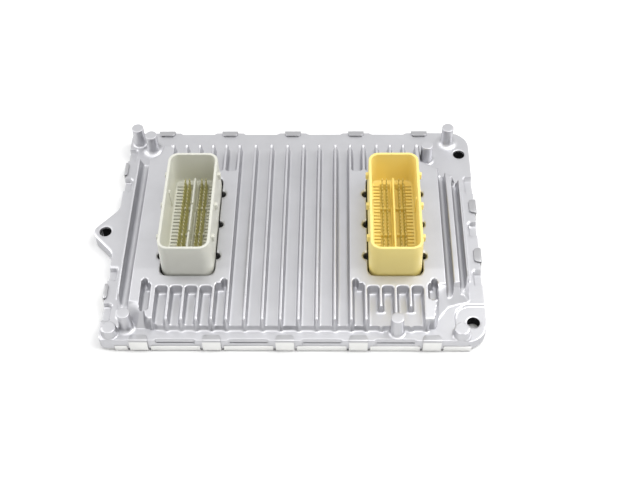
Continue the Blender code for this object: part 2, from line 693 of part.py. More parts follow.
def add_posts(cover):
    # bosses for the board screws hang from the roof, and pedestals reach down to the power parts
    for place in BOARD_SCREWS:
        join(cover, loft("post", prism(circle(place, POST_RADIUS, 8), PART_BOTTOM, HIGH_ROOF + SINK / 2.0)))
    for row_x, row_y, size in (
        (FRONT_ROW_X, FRONT_ROW_Y, FRONT_ROW_SIZE),
        (REAR_ROW_X[:3], REAR_ROW_Y, REAR_ROW_SIZE),
        (REAR_ROW_X[3:], REAR_ROW_Y, REAR_ROW_SIZE),
        ((PROCESSOR[1],), PROCESSOR[2], PROCESSOR[3:5]),
    ):
        outline = row_outline(row_x, row_y, size)
        join(cover, loft("pedestal", prism(outline, PEDESTAL_BOTTOM, HIGH_ROOF + SINK / 2.0)))
    pilots = [prism(circle(place, SCREW_SHANK_RADIUS + FIT_GAP, 8), PART_BOTTOM - SINK, SCREW_TIP + FIT_GAP)
              for place in BOARD_SCREWS]
    cut(cover, lofts("pilot_holes", pilots))


def cut_seal_channel(cover):
    inner = offset(cavity_outline(), SEAL_MARGIN - FIT_GAP)
    outer = offset(cavity_outline(), SEAL_MARGIN + SEAL_WIDTH + FIT_GAP)
    mesh = bmesh.new()
    add_ring(mesh, outer, inner, 0.0, COVER_BOTTOM + SEAL_HEIGHT + FIT_GAP)
    cut(cover, object_from(mesh, "seal_channel"))


def row_outline(row_x, row_y, size):
    return box_outline(min(row_x) - size[0] / 2.0, max(row_x) + size[0] / 2.0,
                       row_y - size[1] / 2.0, row_y + size[1] / 2.0)


def build_cover(material):
    cover = loft("cast_cover", prism(cover_side_outline(), COVER_BOTTOM, FLANGE_TOP), material)
    join(cover, loft("ear", prism(ear_outline(), 0.0, FLANGE_TOP)))
    beyond = COVER_LENGTH
    root_x = -COVER_LENGTH / 2.0 - PLATE_SETBACK
    cut(cover, loft("plate_recess", prism(box_outline(root_x, beyond, -beyond, beyond), -SINK, COVER_BOTTOM)))
    add_block(cover)
    slope_front(cover)
    cut_grooves(cover)
    add_bosses(cover)
    cut_windows(cover)
    cut_flange(cover)
    cut_cavities(cover)
    add_posts(cover)
    cut_seal_channel(cover)
    return cover


# Base plate

def add_strip(mesh, path, half_widths, thickness, place):
    # a bent strip: path points are (outward, z), and place maps (outward, along) to (x, y)
    stations = []
    for index, (out, z) in enumerate(path):
        before = path[max(index - 1, 0)]
        after = path[min(index + 1, len(path) - 1)]
        first = (out - before[0], z - before[1])
        second = (after[0] - out, after[1] - z)
        if index == 0:
            first = second
        if index == len(path) - 1:
            second = first
        first_length = math.hypot(*first)
        second_length = math.hypot(*second)
        normal_a = (-first[1] / first_length, first[0] / first_length)
        normal_b = (-second[1] / second_length, second[0] / second_length)
        share = 1.0 + normal_a[0] * normal_b[0] + normal_a[1] * normal_b[1]
        step = ((normal_a[0] + normal_b[0]) / share, (normal_a[1] + normal_b[1]) / share)
        corners = []
        for side, along in ((-1, -1), (-1, 1), (1, 1), (1, -1)):
            x, y = place(out + step[0] * side * thickness / 2.0, along * half_widths[index])
            corners.append(mesh.verts.new((x, y, z + step[1] * side * thickness / 2.0)))
        stations.append(corners)
    for lower, upper in zip(stations, stations[1:]):
        for index in range(4):
            after = (index + 1) % 4
            mesh.faces.new((lower[index], lower[after], upper[after], upper[index]))
    mesh.faces.new(list(reversed(stations[0])))
    mesh.faces.new(stations[-1])


def edge_placer(side, position):
    half_x = COVER_LENGTH / 2.0
    half_y = COVER_DEPTH / 2.0
    if side == "front":
        return lambda out, along: (position + along, -half_y - out)
    if side == "rear":
        return lambda out, along: (position - along, half_y + out)
    if side == "right":
        return lambda out, along: (half_x + out, position + along)
    return lambda out, along: (-half_x - out, position - along)


def build_base_plate(material):
    half_x = COVER_LENGTH / 2.0 - PLATE_SETBACK
    half_y = COVER_DEPTH / 2.0 - PLATE_SETBACK
    outline = rounded((
        (-half_x, -half_y, LEFT_CORNER_RADIUS),
        (half_x, -half_y, RIGHT_CORNER_RADIUS),
        (half_x, half_y, RIGHT_CORNER_RADIUS),
        (-half_x, half_y, LEFT_CORNER_RADIUS),
    ), steps=5)
    plate = loft("base_plate", prism(outline, 0.0, SHEET_THICKNESS), material)
    thickness = SHEET_THICKNESS - BEND_THINNING
    low = SHEET_THICKNESS / 2.0
    high = FLANGE_TOP + FIT_GAP + thickness / 2.0
    wall = FIT_GAP + thickness / 2.0
    bend = BEND_RADIUS
    path = [
        (-NOTCH_DEPTH - 2.0 * SINK, low), (wall - bend, low), (wall - bend * 0.3, low + bend * 0.3),
        (wall, low + bend), (wall, high - bend), (wall - bend * 0.3, high - bend * 0.3),
        (wall - bend, high), (wall - bend - TAB_LENGTH, high),
    ]
    half = TAB_WIDTH / 2.0
    widths = [half] * (len(path) - 1) + [TAB_TIP_WIDTH / 2.0]
    notches = []
    for side, position in tab_places():
        place = edge_placer(side, position)
        for sign in (-1, 1):
            near = sign * half
            far = sign * (half + NOTCH_WIDTH)
            points = [place(-NOTCH_DEPTH, near), place(-NOTCH_DEPTH, far), place(SINK, far), place(SINK, near)]
            xs = [point[0] for point in points]
            ys = [point[1] for point in points]
            notches.append(prism(box_outline(min(xs), max(xs), min(ys), max(ys)), -SINK, SHEET_THICKNESS + SINK))
    cut(plate, lofts("notch_cutter", notches))
    for side, position in tab_places():
        mesh = bmesh.new()
        add_strip(mesh, path, widths, thickness, edge_placer(side, position))
        bmesh.ops.recalc_face_normals(mesh, faces=mesh.faces[:])
        join(plate, object_from(mesh, "crimp_tab"))
    holes = [prism(circle(place, FIXING_RADIUS + FIT_GAP, 16), -SINK, SHEET_THICKNESS + SINK)
             for place in CORNER_HOLES]
    cut(plate, lofts("plate_hole_cutter", holes))
    return plate


def build_perimeter_seal(material):
    outline = cavity_outline()
    mesh = bmesh.new()
    add_ring(mesh, offset(outline, SEAL_MARGIN + SEAL_WIDTH), offset(outline, SEAL_MARGIN),
             COVER_BOTTOM, COVER_BOTTOM + SEAL_HEIGHT)
    return object_from(mesh, "perimeter_seal", material)


# Connector headers

def comb_pocket(centre_x, side):
    # the pin well of one half of the socket, with a slot between each pair of comb teeth
    inner = PARTITION_THICKNESS / 2.0
    span = PIN_PITCH * PIN_COLUMNS
    low = HEADER_Y - span / 2.0
    gap = PIN_PITCH - COMB_TOOTH
    points = [(inner, low + span), (inner, low)]
    for column in range(PIN_COLUMNS):
        start = low + PIN_PITCH * column
        points += [
            (WELL_HALF_WIDTH, start),
            (WELL_HALF_WIDTH, start + COMB_TOOTH / 2.0),
            (COMB_REACH, start + COMB_TOOTH / 2.0),
            (COMB_REACH, start + COMB_TOOTH / 2.0 + gap),
            (WELL_HALF_WIDTH, start + COMB_TOOTH / 2.0 + gap),
        ]
    points.append((WELL_HALF_WIDTH, low + span))
    cleaned = [point for index, point in enumerate(points) if point != points[index - 1]]
    outline = [(centre_x + side * x, y) for x, y in cleaned]
    if side < 0:
        outline.reverse()
    return outline


def build_header(name, centre_x, material):
    narrow = -HEADER_RIM_NARROWING
    header = loft(name, [
        (header_outline(centre_x), PART_BOTTOM),
        (header_outline(centre_x), FIN_TOP),
        (header_outline(centre_x, narrow), HEADER_TOP - RIM_ROUNDING),
        (header_outline(centre_x, narrow - RIM_ROUNDING), HEADER_TOP),
    ], material)
    foot_top = PLATFORM_ROOF - 2.0 * FIT_GAP - HEADER_SEAL_HEIGHT
    foot = header_outline(centre_x, WINDOW_GAP + FOOT_OVERLAP)
    join(header, loft("foot", prism(foot, foot_top - FOOT_THICKNESS, foot_top)))
    half = HEADER_WIDTH / 2.0
    lugs = [
        prism(box_outline(*sorted((centre_x + side * (half - SINK), centre_x + side * (half + LUG_REACH))),
                          y - LUG_WIDTH / 2.0, y + LUG_WIDTH / 2.0), LUG_BOTTOM, LUG_TOP)
        for side in (-1, 1) for y in lug_places()
    ]
    join(header, lofts("lugs", lugs))
    cut(header, loft("socket_cutter", [
        (header_outline(centre_x, narrow - SHROUD_WALL - RIM_ROUNDING), SOCKET_LAND),
        (header_outline(centre_x, narrow - SHROUD_WALL), HEADER_TOP - RIM_ROUNDING),
        (header_outline(centre_x, narrow - SHROUD_WALL + RIM_ROUNDING), HEADER_TOP + RIM_ROUNDING),
    ]))
    wells = [prism(comb_pocket(centre_x, side), WELL_FLOOR, SOCKET_LAND + SINK) for side in (-1, 1)]
    cut(header, lofts("well_cutter", wells))
    span = PIN_PITCH * PIN_COLUMNS
    low = HEADER_Y - span / 2.0
    thickness = BLADE_THICKNESS / 2.0
    blade = box_outline(centre_x - thickness, centre_x + thickness, low, low + span)
    join(header, loft("keying_blade", [
        (blade, SOCKET_LAND - SINK),
        (blade, BLADE_TOP - thickness),
        (offset(blade, -thickness * 0.6), BLADE_TOP),
    ]))
    pin = PIN_WIDTH / 2.0
    pins = []
    for row in PIN_ROWS:
        for column in range(PIN_COLUMNS):
            x = centre_x + row
            y = low + PIN_PITCH * (column + 0.5)
            outline = box_outline(x - pin, x + pin, y - pin, y + pin)
            pins.append(prism(outline, WELL_FLOOR - SINK, PIN_TOP))
    join(header, lofts("pins", pins))
    return header


def build_header_seal(name, centre_x, material):
    top = PLATFORM_ROOF - FIT_GAP
    inner_grow = WINDOW_GAP + (FOOT_OVERLAP - HEADER_SEAL_WIDTH) / 2.0
    mesh = bmesh.new()
    add_ring(mesh, header_outline(centre_x, inner_grow + HEADER_SEAL_WIDTH),
             header_outline(centre_x, inner_grow), top - HEADER_SEAL_HEIGHT, top)
    return object_from(mesh, name, material)


# Circuit board and what is soldered to it

# Packages: name, x, y, size along x, size along y, height
PROCESSOR = ("microcontroller", -0.0020, -0.0080, 0.0240, 0.0240, DRIVER_HEIGHT)
PACKAGES = (
    PROCESSOR,
    ("flash_memory", -0.0020, -0.0290, 0.0110, 0.0080, 0.0011),
    ("power_supply_ic", -0.0020, 0.0200, 0.0120, 0.0120, 0.0014),
    ("clock_crystal", -0.0210, -0.0080, 0.0050, 0.0032, 0.0012),
    ("bus_transceiver_1", 0.0200, 0.0080, 0.0050, 0.0060, 0.0015),
    ("bus_transceiver_2", 0.0200, 0.0180, 0.0050, 0.0060, 0.0015),
    ("knock_interface", 0.0200, -0.0080, 0.0070, 0.0070, 0.0010),
    ("sensor_interface", -0.0220, 0.0080, 0.0090, 0.0090, 0.0014),
    ("boost_inductor", 0.0220, -0.0270, 0.0100, 0.0100, 0.0038),
    ("supply_inductor", -0.0210, -0.0270, 0.0100, 0.0100, 0.0038),
)
FRONT_ROW_NAMES = ("injector_driver_1", "injector_driver_2", "ignition_driver_1", "ignition_driver_2",
                   "throttle_driver", "solenoid_driver_1", "solenoid_driver_2")


def build_board(material):
    outline = offset(cavity_outline(), -BOARD_MARGIN)
    board = loft("circuit_board", prism(outline, BOARD_BOTTOM, BOARD_TOP), material)
    holes = [prism(circle(place, SCREW_SHANK_RADIUS + FIT_GAP, 8), BOARD_BOTTOM - SINK, BOARD_TOP + SINK)
             for place in BOARD_SCREWS]
    cut(board, lofts("board_hole_cutter", holes))
    return board


def build_package(name, x, y, size_x, size_y, height, material):
    chamfer = min(height * 0.12, size_x * 0.04)
    outline = rounded_box(x - size_x / 2.0, x + size_x / 2.0, y - size_y / 2.0, y + size_y / 2.0, chamfer, 1)
    return loft(name, [
        (offset(outline, -chamfer), PART_BOTTOM),
        (outline, PART_BOTTOM + height * 0.4),
        (offset(outline, -chamfer), PART_BOTTOM + height),
    ], material)


def build_capacitor(name, x, y, material):
    radius = CAPACITOR_RADIUS
    bevel = radius * 0.12
    top = PART_BOTTOM + CAPACITOR_HEIGHT
    return loft(name, [
        (circle((x, y), radius - bevel), PART_BOTTOM),
        (circle((x, y), radius), PART_BOTTOM + bevel),
        (circle((x, y), radius), top - bevel),
        (circle((x, y), radius - bevel), top),
    ], material)


def build_screw(name, place, material):
    head_bottom = BOARD_BOTTOM - FIT_GAP - SCREW_HEAD_HEIGHT
    head_top = BOARD_BOTTOM - FIT_GAP
    return loft(name, [
        (circle(place, SCREW_HEAD_RADIUS * 0.8, 8), head_bottom),
        (circle(place, SCREW_HEAD_RADIUS, 8), head_bottom + SCREW_HEAD_HEIGHT * 0.4),
        (circle(place, SCREW_HEAD_RADIUS, 8), head_top),
        (circle(place, SCREW_SHANK_RADIUS, 8), head_top + FIT_GAP / 10.0),
        (circle(place, SCREW_SHANK_RADIUS, 8), SCREW_TIP - SCREW_SHANK_RADIUS / 2.0),
        (circle(place, SCREW_SHANK_RADIUS * 0.6, 8), SCREW_TIP),
    ], material)


def build_pad(name, row_x, row_y, size, material):
    outline = row_outline(row_x, row_y, size)
    return loft(name, prism(outline, PAD_BOTTOM, PAD_BOTTOM + PAD_THICKNESS), material)


def build_electronics(materials):
    build_board(materials["board"])
    for name, x, y, size_x, size_y, height in PACKAGES:
        slot = "ferrite" if "inductor" in name else "package"
        build_package(name, x, y, size_x, size_y, height, materials[slot])
    for name, x in zip(FRONT_ROW_NAMES, FRONT_ROW_X):
        build_package(name, x, FRONT_ROW_Y, *FRONT_ROW_SIZE, DRIVER_HEIGHT, materials["package"])
    for number, x in enumerate(REAR_ROW_X, 1):
        build_package(f"power_transistor_{number}", x, REAR_ROW_Y, *REAR_ROW_SIZE, DRIVER_HEIGHT,
                      materials["package"])
    for number, y in enumerate(CAPACITOR_Y, 1):
        x = GREY_HEADER_X - HEADER_WIDTH / 2.0 - WINDOW_GAP - FOOT_OVERLAP - CAPACITOR_RADIUS - 5.0 * FIT_GAP
        build_capacitor(f"bulk_capacitor_{number}", x, y, materials["can"])
    for number, place in enumerate(BOARD_SCREWS, 1):
        build_screw(f"board_screw_{number}", place, materials["screw"])
    build_pad("thermal_pad_front", FRONT_ROW_X, FRONT_ROW_Y, FRONT_ROW_SIZE, materials["pad"])
    build_pad("thermal_pad_rear_left", REAR_ROW_X[:3], REAR_ROW_Y, REAR_ROW_SIZE, materials["pad"])
    build_pad("thermal_pad_rear_right", REAR_ROW_X[3:], REAR_ROW_Y, REAR_ROW_SIZE, materials["pad"])
    build_pad("thermal_pad_processor", (PROCESSOR[1],), PROCESSOR[2], PROCESSOR[3:5], materials["pad"])


def main():
    clear_scene()
    materials = {
        "casting": make_material("die_cast_aluminium", (0.60, 0.60, 0.62), 0.42, 1.0),
        "sheet": make_material("sheet_aluminium", (0.72, 0.72, 0.73), 0.32, 1.0),
        "grey": make_material("grey_connector_plastic", (0.62, 0.63, 0.57), 0.45, 0.0),
        "yellow": make_material("yellow_connector_plastic", (0.80, 0.62, 0.16), 0.45, 0.0),
        "sealant": make_material("black_sealant", (0.03, 0.03, 0.03), 0.7, 0.0),
        "board": make_material("board_laminate", (0.02, 0.12, 0.05), 0.4, 0.0),
        "package": make_material("moulded_package", (0.03, 0.03, 0.035), 0.5, 0.0),
        "ferrite": make_material("ferrite", (0.07, 0.07, 0.07), 0.6, 0.0),
        "can": make_material("capacitor_can", (0.65, 0.66, 0.68), 0.3, 1.0),
        "screw": make_material("plated_steel", (0.55, 0.55, 0.56), 0.35, 1.0),
        "pad": make_material("gap_filler", (0.55, 0.60, 0.66), 0.8, 0.0),
    }
    build_cover(materials["casting"])
    build_base_plate(materials["sheet"])
    build_perimeter_seal(materials["sealant"])
    build_header("header_grey", GREY_HEADER_X, materials["grey"])
    build_header("header_yellow", YELLOW_HEADER_X, materials["yellow"])
    build_header_seal("header_seal_grey", GREY_HEADER_X, materials["sealant"])
    build_header_seal("header_seal_yellow", YELLOW_HEADER_X, materials["sealant"])
    build_electronics(materials)


main()
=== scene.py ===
import json
import math

import bpy
import numpy as np
from mathutils import Matrix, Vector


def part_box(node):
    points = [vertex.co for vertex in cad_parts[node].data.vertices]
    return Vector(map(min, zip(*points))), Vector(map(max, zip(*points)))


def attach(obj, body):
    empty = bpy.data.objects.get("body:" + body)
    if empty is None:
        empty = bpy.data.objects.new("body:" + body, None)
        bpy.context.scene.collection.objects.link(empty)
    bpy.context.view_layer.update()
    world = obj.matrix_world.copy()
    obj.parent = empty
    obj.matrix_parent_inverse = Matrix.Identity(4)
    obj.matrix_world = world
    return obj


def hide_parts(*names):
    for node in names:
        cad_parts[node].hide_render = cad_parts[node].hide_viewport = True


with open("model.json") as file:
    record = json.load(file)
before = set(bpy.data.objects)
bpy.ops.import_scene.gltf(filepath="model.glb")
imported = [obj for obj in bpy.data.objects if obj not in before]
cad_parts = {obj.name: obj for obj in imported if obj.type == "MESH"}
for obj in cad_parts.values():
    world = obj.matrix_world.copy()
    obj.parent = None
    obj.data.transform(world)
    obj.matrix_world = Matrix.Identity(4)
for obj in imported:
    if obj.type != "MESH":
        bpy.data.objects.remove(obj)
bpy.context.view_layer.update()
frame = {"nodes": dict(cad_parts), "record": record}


def nodeBox(name):
    # lowest and highest corner of a CAD node in millimetres
    return np.array(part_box(name)) * 1000.0


# Mesh helpers

def addObject(name, data):
    # an object in the scene that carries a mesh, a light or a lens
    item = bpy.data.objects.new(name, data)
    bpy.context.scene.collection.objects.link(item)
    return item


def makePiece(name, body, material, slotName, *nodes, sharpAngle=38.0):
    # a body's millimetre points and faces become a mesh, shaded smooth but for its sharp edges
    points, faces = body
    mesh = bpy.data.meshes.new(name)
    mesh.from_pydata(points * 0.001, [], [face for group in faces for face in group.tolist()])
    mesh.validate()
    mesh.materials.append(material)
    mesh.shade_smooth()
    mesh.set_sharp_from_angle(angle=math.radians(sharpAngle))
    piece = addObject(name, mesh)
    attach(piece, "root")
    if nodes:
        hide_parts(*nodes)
    print("made", name, len(mesh.polygons), "faces")


def joinParts(parts):
    # several (points, faces) pairs become one, with the face numbers moved up
    points = np.concatenate([part[0] for part in parts])
    faces = []
    start = 0
    for part in parts:
        faces.extend(group + start for group in part[1])
        start += len(part[0])
    return points, faces


def loftRings(rings, closeStart=True, closeEnd=True):
    # rings is (count, points round, 3): neighbours are joined by quads, ends closed by fans to their middle
    count, around = rings.shape[:2]
    grid = np.arange(count * around).reshape(count, around)
    after = np.roll(grid, -1, axis=1)
    quads = np.stack([grid[:-1], after[:-1], after[1:], grid[1:]], axis=-1).reshape(-1, 4)
    points = rings.reshape(-1, 3)
    faces = [quads]
    ends = ((closeStart, rings[0], after[0], grid[0]), (closeEnd, rings[-1], grid[-1], after[-1]))
    for close, ring, here, there in ends:
        if close:
            faces.append(np.stack([here, there, np.full(around, len(points))], axis=-1))
            points = np.vstack([points, ring.mean(axis=0)])
    return points, faces


def turned(profile, centre, around=64):
    # radius and height pairs, foot first, carried round an upright axis
    radius, height = np.array(profile).T[:, :, None]
    angle = np.linspace(0.0, 2.0 * np.pi, around, endpoint=False)
    return loftRings(np.stack([centre[0] + radius * np.cos(angle), centre[1] + radius * np.sin(angle),
                               height + 0.0 * angle], axis=-1))


def roundedLoop(halfX, halfY, radius, cornerSteps=10, sideSteps=8):
    # a rectangle's outline, anticlockwise: four quarter circles with a straight side after each
    radius = min(radius, halfX, halfY)
    turn = np.linspace(0.0, np.pi / 2.0, cornerSteps)
    along = np.linspace(0.0, 1.0, sideSteps, endpoint=False)[1:, None]
    arcs = []
    for quarter, (signX, signY) in enumerate(((1, 1), (-1, 1), (-1, -1), (1, -1))):
        angle = turn + quarter * np.pi / 2.0
        arcs.append(np.column_stack([signX * (halfX - radius) + radius * np.cos(angle),
                                     signY * (halfY - radius) + radius * np.sin(angle)]))
    loop = []
    for arc, following in zip(arcs, arcs[1:] + arcs[:1]):
        loop += [arc, arc[-1] + along * (following[0] - arc[-1])]
    return np.concatenate(loop)


def loftSections(sections, centre, *closed):
    # rounded rectangles, (half x, half y, corner radius, height), lofted in their order
    rings = []
    for halfX, halfY, radius, height in sections:
        loop = roundedLoop(halfX, halfY, radius) + centre
        rings.append(np.column_stack([loop, np.full(len(loop), height)]))
    return loftRings(np.stack(rings), *closed)


def softBlock(centre, half, radius):
    # a ball's surface whose eight parts are pushed apart into a block with rounded edges,
    # turned a little so that none of its side points lies between two parts
    across = np.linspace(-np.pi / 2.0, np.pi / 2.0, 12)[:, None]
    around = np.linspace(0.0, 2.0 * np.pi, 28, endpoint=False) + 0.11
    ball = np.stack([np.cos(across) * np.cos(around), np.cos(across) * np.sin(around),
                     np.sin(across) + 0.0 * around], axis=-1)
    eighth = np.sign(np.round(ball, 6))
    return loftRings(ball * radius + eighth * (np.array(half) - radius) + np.array(centre))


def arcSection(start, end, bulge, steps):
    # points on a quarter ellipse from start to end, leaving start along the bulge axis (0 or 1)
    angle = np.linspace(0.0, np.pi / 2.0, steps)[:, None]
    along = np.sin(angle)
    across = 1.0 - np.cos(angle)
    start, end = np.array(start), np.array(end)
    shape = np.hstack([along, across]) if bulge == 0 else np.hstack([across, along])
    return start + (end - start) * shape


# Distances on the plan: positive inside a shape, negative outside it

def boxDistance(x, y, left, right, front, rear, radius):
    # how far a point is inside a rectangle with rounded corners
    farX = np.abs(x - (left + right) / 2.0) - ((right - left) / 2.0 - radius)
    farY = np.abs(y - (front + rear) / 2.0) - ((rear - front) / 2.0 - radius)
    corner = np.hypot(np.maximum(farX, 0.0), np.maximum(farY, 0.0))
    return radius - corner - np.minimum(np.maximum(farX, farY), 0.0)


def nearestOf(x, y, places):
    # how far the nearest of some points is
    return np.min([np.hypot(x - placeX, y - placeY) for placeX, placeY in places], axis=0)


def outlineDistance(x, y, outline):
    # nearest edge of a closed outline, with the sign from the number of edges crossed on the way out
    nearest = np.full(x.shape, 1e9)
    inside = np.zeros(x.shape, bool)
    for (startX, startY), (endX, endY) in zip(outline, np.roll(outline, -1, axis=0)):
        edgeX, edgeY = endX - startX, endY - startY
        share = ((x - startX) * edgeX + (y - startY) * edgeY) / (edgeX ** 2 + edgeY ** 2)
        share = np.clip(share, 0.0, 1.0)
        nearest = np.minimum(nearest, (x - startX - share * edgeX) ** 2 + (y - startY - share * edgeY) ** 2)
        between = (startY > y) != (endY > y)
        inside ^= between & (x < edgeX * (y - startY) / (edgeY if edgeY else 1e-9) + startX)
    return np.where(inside, 1.0, -1.0) * np.sqrt(nearest)


def roundedOutline(corners, steps=6):
    # corners are (x, y, radius), anticlockwise: each is replaced by an arc touching both of its edges
    outline = []
    corners = np.array(corners)
    for index, (x, y, radius) in enumerate(corners):
        here = np.array([x, y])
        back = corners[index - 1, :2] - here
        ahead = corners[(index + 1) % len(corners), :2] - here
        back, ahead = back / np.hypot(*back), ahead / np.hypot(*ahead)
        half = math.acos(np.clip(back @ ahead, -1.0, 1.0)) / 2.0
        middle = (back + ahead) / np.hypot(*(back + ahead))
        centre = here + middle * radius / math.sin(half)
        reach = radius / math.tan(half)
        first = math.atan2(*(here + back * reach - centre)[::-1])
        last = math.atan2(*(here + ahead * reach - centre)[::-1])
        sweep = (last - first + math.pi) % (2.0 * math.pi) - math.pi
        angle = first + np.linspace(0.0, sweep, steps)
        outline.append(centre + radius * np.column_stack([np.cos(angle), np.sin(angle)]))
    return np.concatenate(outline)


def softMax(first, second, blend):
    # the larger of two, with a fillet of about the blend where they cross
    share = np.clip(0.5 + 0.5 * (first - second) / blend, 0.0, 1.0)
    return second + (first - second) * share + blend * share * (1.0 - share)


def wallProfile(depth, low, high, foot, crown, halfWall):
    # height across a wall by depth inside it: quarter circle up, straight wall, quarter circle over
    up = np.clip(depth + halfWall + foot, 0.0, foot)
    ground = low + foot - np.sqrt(foot ** 2 - up ** 2)
    over = crown - np.clip(depth - halfWall, 0.0, crown)
    cap = high - crown + np.sqrt(crown ** 2 - over ** 2)
    share = np.clip((depth + halfWall) / (2.0 * halfWall), 0.0, 1.0)
    wall = (low + foot) + (high - crown - low - foot) * share
    return np.where(depth < -halfWall, ground, np.where(depth < halfWall, wall, cap))


# Grids whose lines lie on the edges of the shape

def gridLines(marks, zones):
    # every mark is a line; gaps are filled evenly, no wider than the step of their (end, step) zone
    marks = np.unique(np.round(marks, 3))
    kept = [marks[0]]
    for mark in marks[1:]:
        if mark - kept[-1] > 0.055:
            kept.append(mark)
    lines = [np.array([kept[0]])]
    for start, end in zip(kept, kept[1:]):
        step = next(size for limit, size in zones if (start + end) / 2.0 < limit)
        count = max(int(math.ceil((end - start) / step - 0.05)), 1)
        lines.append(np.linspace(start, end, count + 1)[1:])
    return np.concatenate(lines)


def cellSize(lines):
    # the wider of the two gaps beside each line
    gaps = np.diff(lines)
    return np.maximum(np.append(gaps, 0.0), np.append(0.0, gaps))


def slideTo(x, y, cellX, cellY, distance, edge, diagonalOnly):
    # points within half a cell of an outline move square to it, onto the line at edge on their own side
    step = 0.01
    depth = distance(x, y)
    slopeX = (distance(x + step, y) - depth) / step
    slopeY = (distance(x, y + step) - depth) / step
    steepness = np.maximum(np.hypot(slopeX, slopeY), 1e-6)
    slopeX, slopeY = slopeX / steepness, slopeY / steepness
    reach = 0.505 * np.maximum(cellX * np.abs(slopeX), cellY * np.abs(slopeY)) + edge
    near = np.abs(depth) < reach
    if diagonalOnly:
        near &= np.maximum(np.abs(slopeX), np.abs(slopeY)) < 0.995
    move = np.where(near, np.where(depth < 0.0, -edge, edge) - depth, 0.0)
    return x + move * slopeX, y + move * slopeY, near


def trimmedGrid(xLines, yLines, keep, walls, edge):
    # a flat grid slid onto the wall lines and cut at the keep outline; returns x, y, faces and the cut edges
    x, y = np.meshgrid(xLines, yLines, indexing="ij")
    cellX, cellY = cellSize(xLines)[:, None], cellSize(yLines)[None, :]
    for wall in walls:
        x, y, _ = slideTo(x, y, cellX, cellY, wall, edge, True)
    x, y, onEdge = slideTo(x, y, cellX, cellY, keep, 0.0, False)
    depth = keep(x, y)
    side = np.where(onEdge | (np.abs(depth) < 0.02), 0, np.sign(depth)).astype(int).ravel()
    x, y, depth = x.ravel(), y.ravel(), depth.ravel()
    grid = np.arange(x.size).reshape(len(xLines), len(yLines))
    quads = np.stack([grid[:-1, :-1], grid[1:, :-1], grid[1:, 1:], grid[:-1, 1:]], axis=-1).reshape(-1, 4)
    low, high = side[quads].min(axis=1), side[quads].max(axis=1)
    middle = keep(x[quads].mean(axis=1), y[quads].mean(axis=1))
    whole = (low >= 0) & ((high > 0) | (middle > 0.0))
    mixed = quads[(low < 0) & (high > 0)]
    # a mixed cell is halved along the corners that lie on the outline
    turn = np.where((side[mixed[:, 0]] == 0) & (side[mixed[:, 2]] == 0), 0, 1)
    corners = np.take_along_axis(mixed, (np.arange(4)[None, :] + turn[:, None]) % 4, axis=1)
    halves = np.concatenate([corners[:, [0, 1, 2]], corners[:, [0, 2, 3]]])
    halves = halves[side[halves].min(axis=1) >= 0]
    halves = halves[side[halves].max(axis=1) > 0]
    faces = [quads[whole], halves]
    edges = np.concatenate([np.stack([group, np.roll(group, -1, axis=1)], axis=-1).reshape(-1, 2)
                            for group in faces])
    key = np.sort(edges, axis=1) @ np.array([x.size, 1])
    _, first, count = np.unique(key, return_index=True, return_counts=True)
    border = edges[first[count == 1]]
    border = border[(side[border] == 0).all(axis=1)]
    return x, y, faces, border


def dropUnused(points, faces):
    # keeps only the points that a face uses
    used = np.unique(np.concatenate([group.ravel() for group in faces]))
    renumber = np.zeros(len(points), int)
    renumber[used] = np.arange(len(used))
    return points[used], [renumber[group] for group in faces]


def reliefBody(grid, top, bottom, underside):
    # the grid at its top heights, walls down to the bottom heights at the cut edges, and part of an underside
    x, y, faces, border = grid
    count = x.size
    points = np.concatenate([np.column_stack([x, y, top]), np.column_stack([x, y, bottom])])
    walls = np.column_stack([border[:, 0], border[:, 0] + count, border[:, 1] + count, border[:, 1]])
    below = [group[underside[group].all(axis=1)][:, ::-1] + count for group in faces]
    return dropUnused(points, [*faces, walls, *below])


# Materials

def hexColour(text):
    # an sRGB hex colour turned to linear light
    values = np.array([int(text[index:index + 2], 16) for index in (1, 3, 5)]) / 255.0
    linear = np.where(values <= 0.04045, values / 12.92, ((values + 0.055) / 1.055) ** 2.4)
    return (*linear.tolist(), 1.0)


def addNode(tree, kind, sockets=None, **settings):
    # adds a node, sets its properties, and fills its sockets with values or links
    node = tree.nodes.new(kind)
    for name, value in settings.items():
        setattr(node, name, value)
    for name, value in (sockets or {}).items():
        if isinstance(value, bpy.types.NodeSocket):
            tree.links.new(value, node.inputs[name])
        else:
            node.inputs[name].default_value = value
    return node


def mixColours(tree, share, first, second):
    # a colour between two, by share
    mix = addNode(tree, "ShaderNodeMix", {"Factor": share, "A": first, "B": second}, data_type="RGBA")
    return mix.outputs["Result"]


def startMaterial(name):
    # a node material with its Principled shader and the object's own coordinates in metres
    material = bpy.data.materials.new(name)
    material.use_nodes = True
    tree = material.node_tree
    shader = tree.nodes["Principled BSDF"]
    place = addNode(tree, "ShaderNodeTexCoord").outputs["Object"]
    return material, tree, shader, place


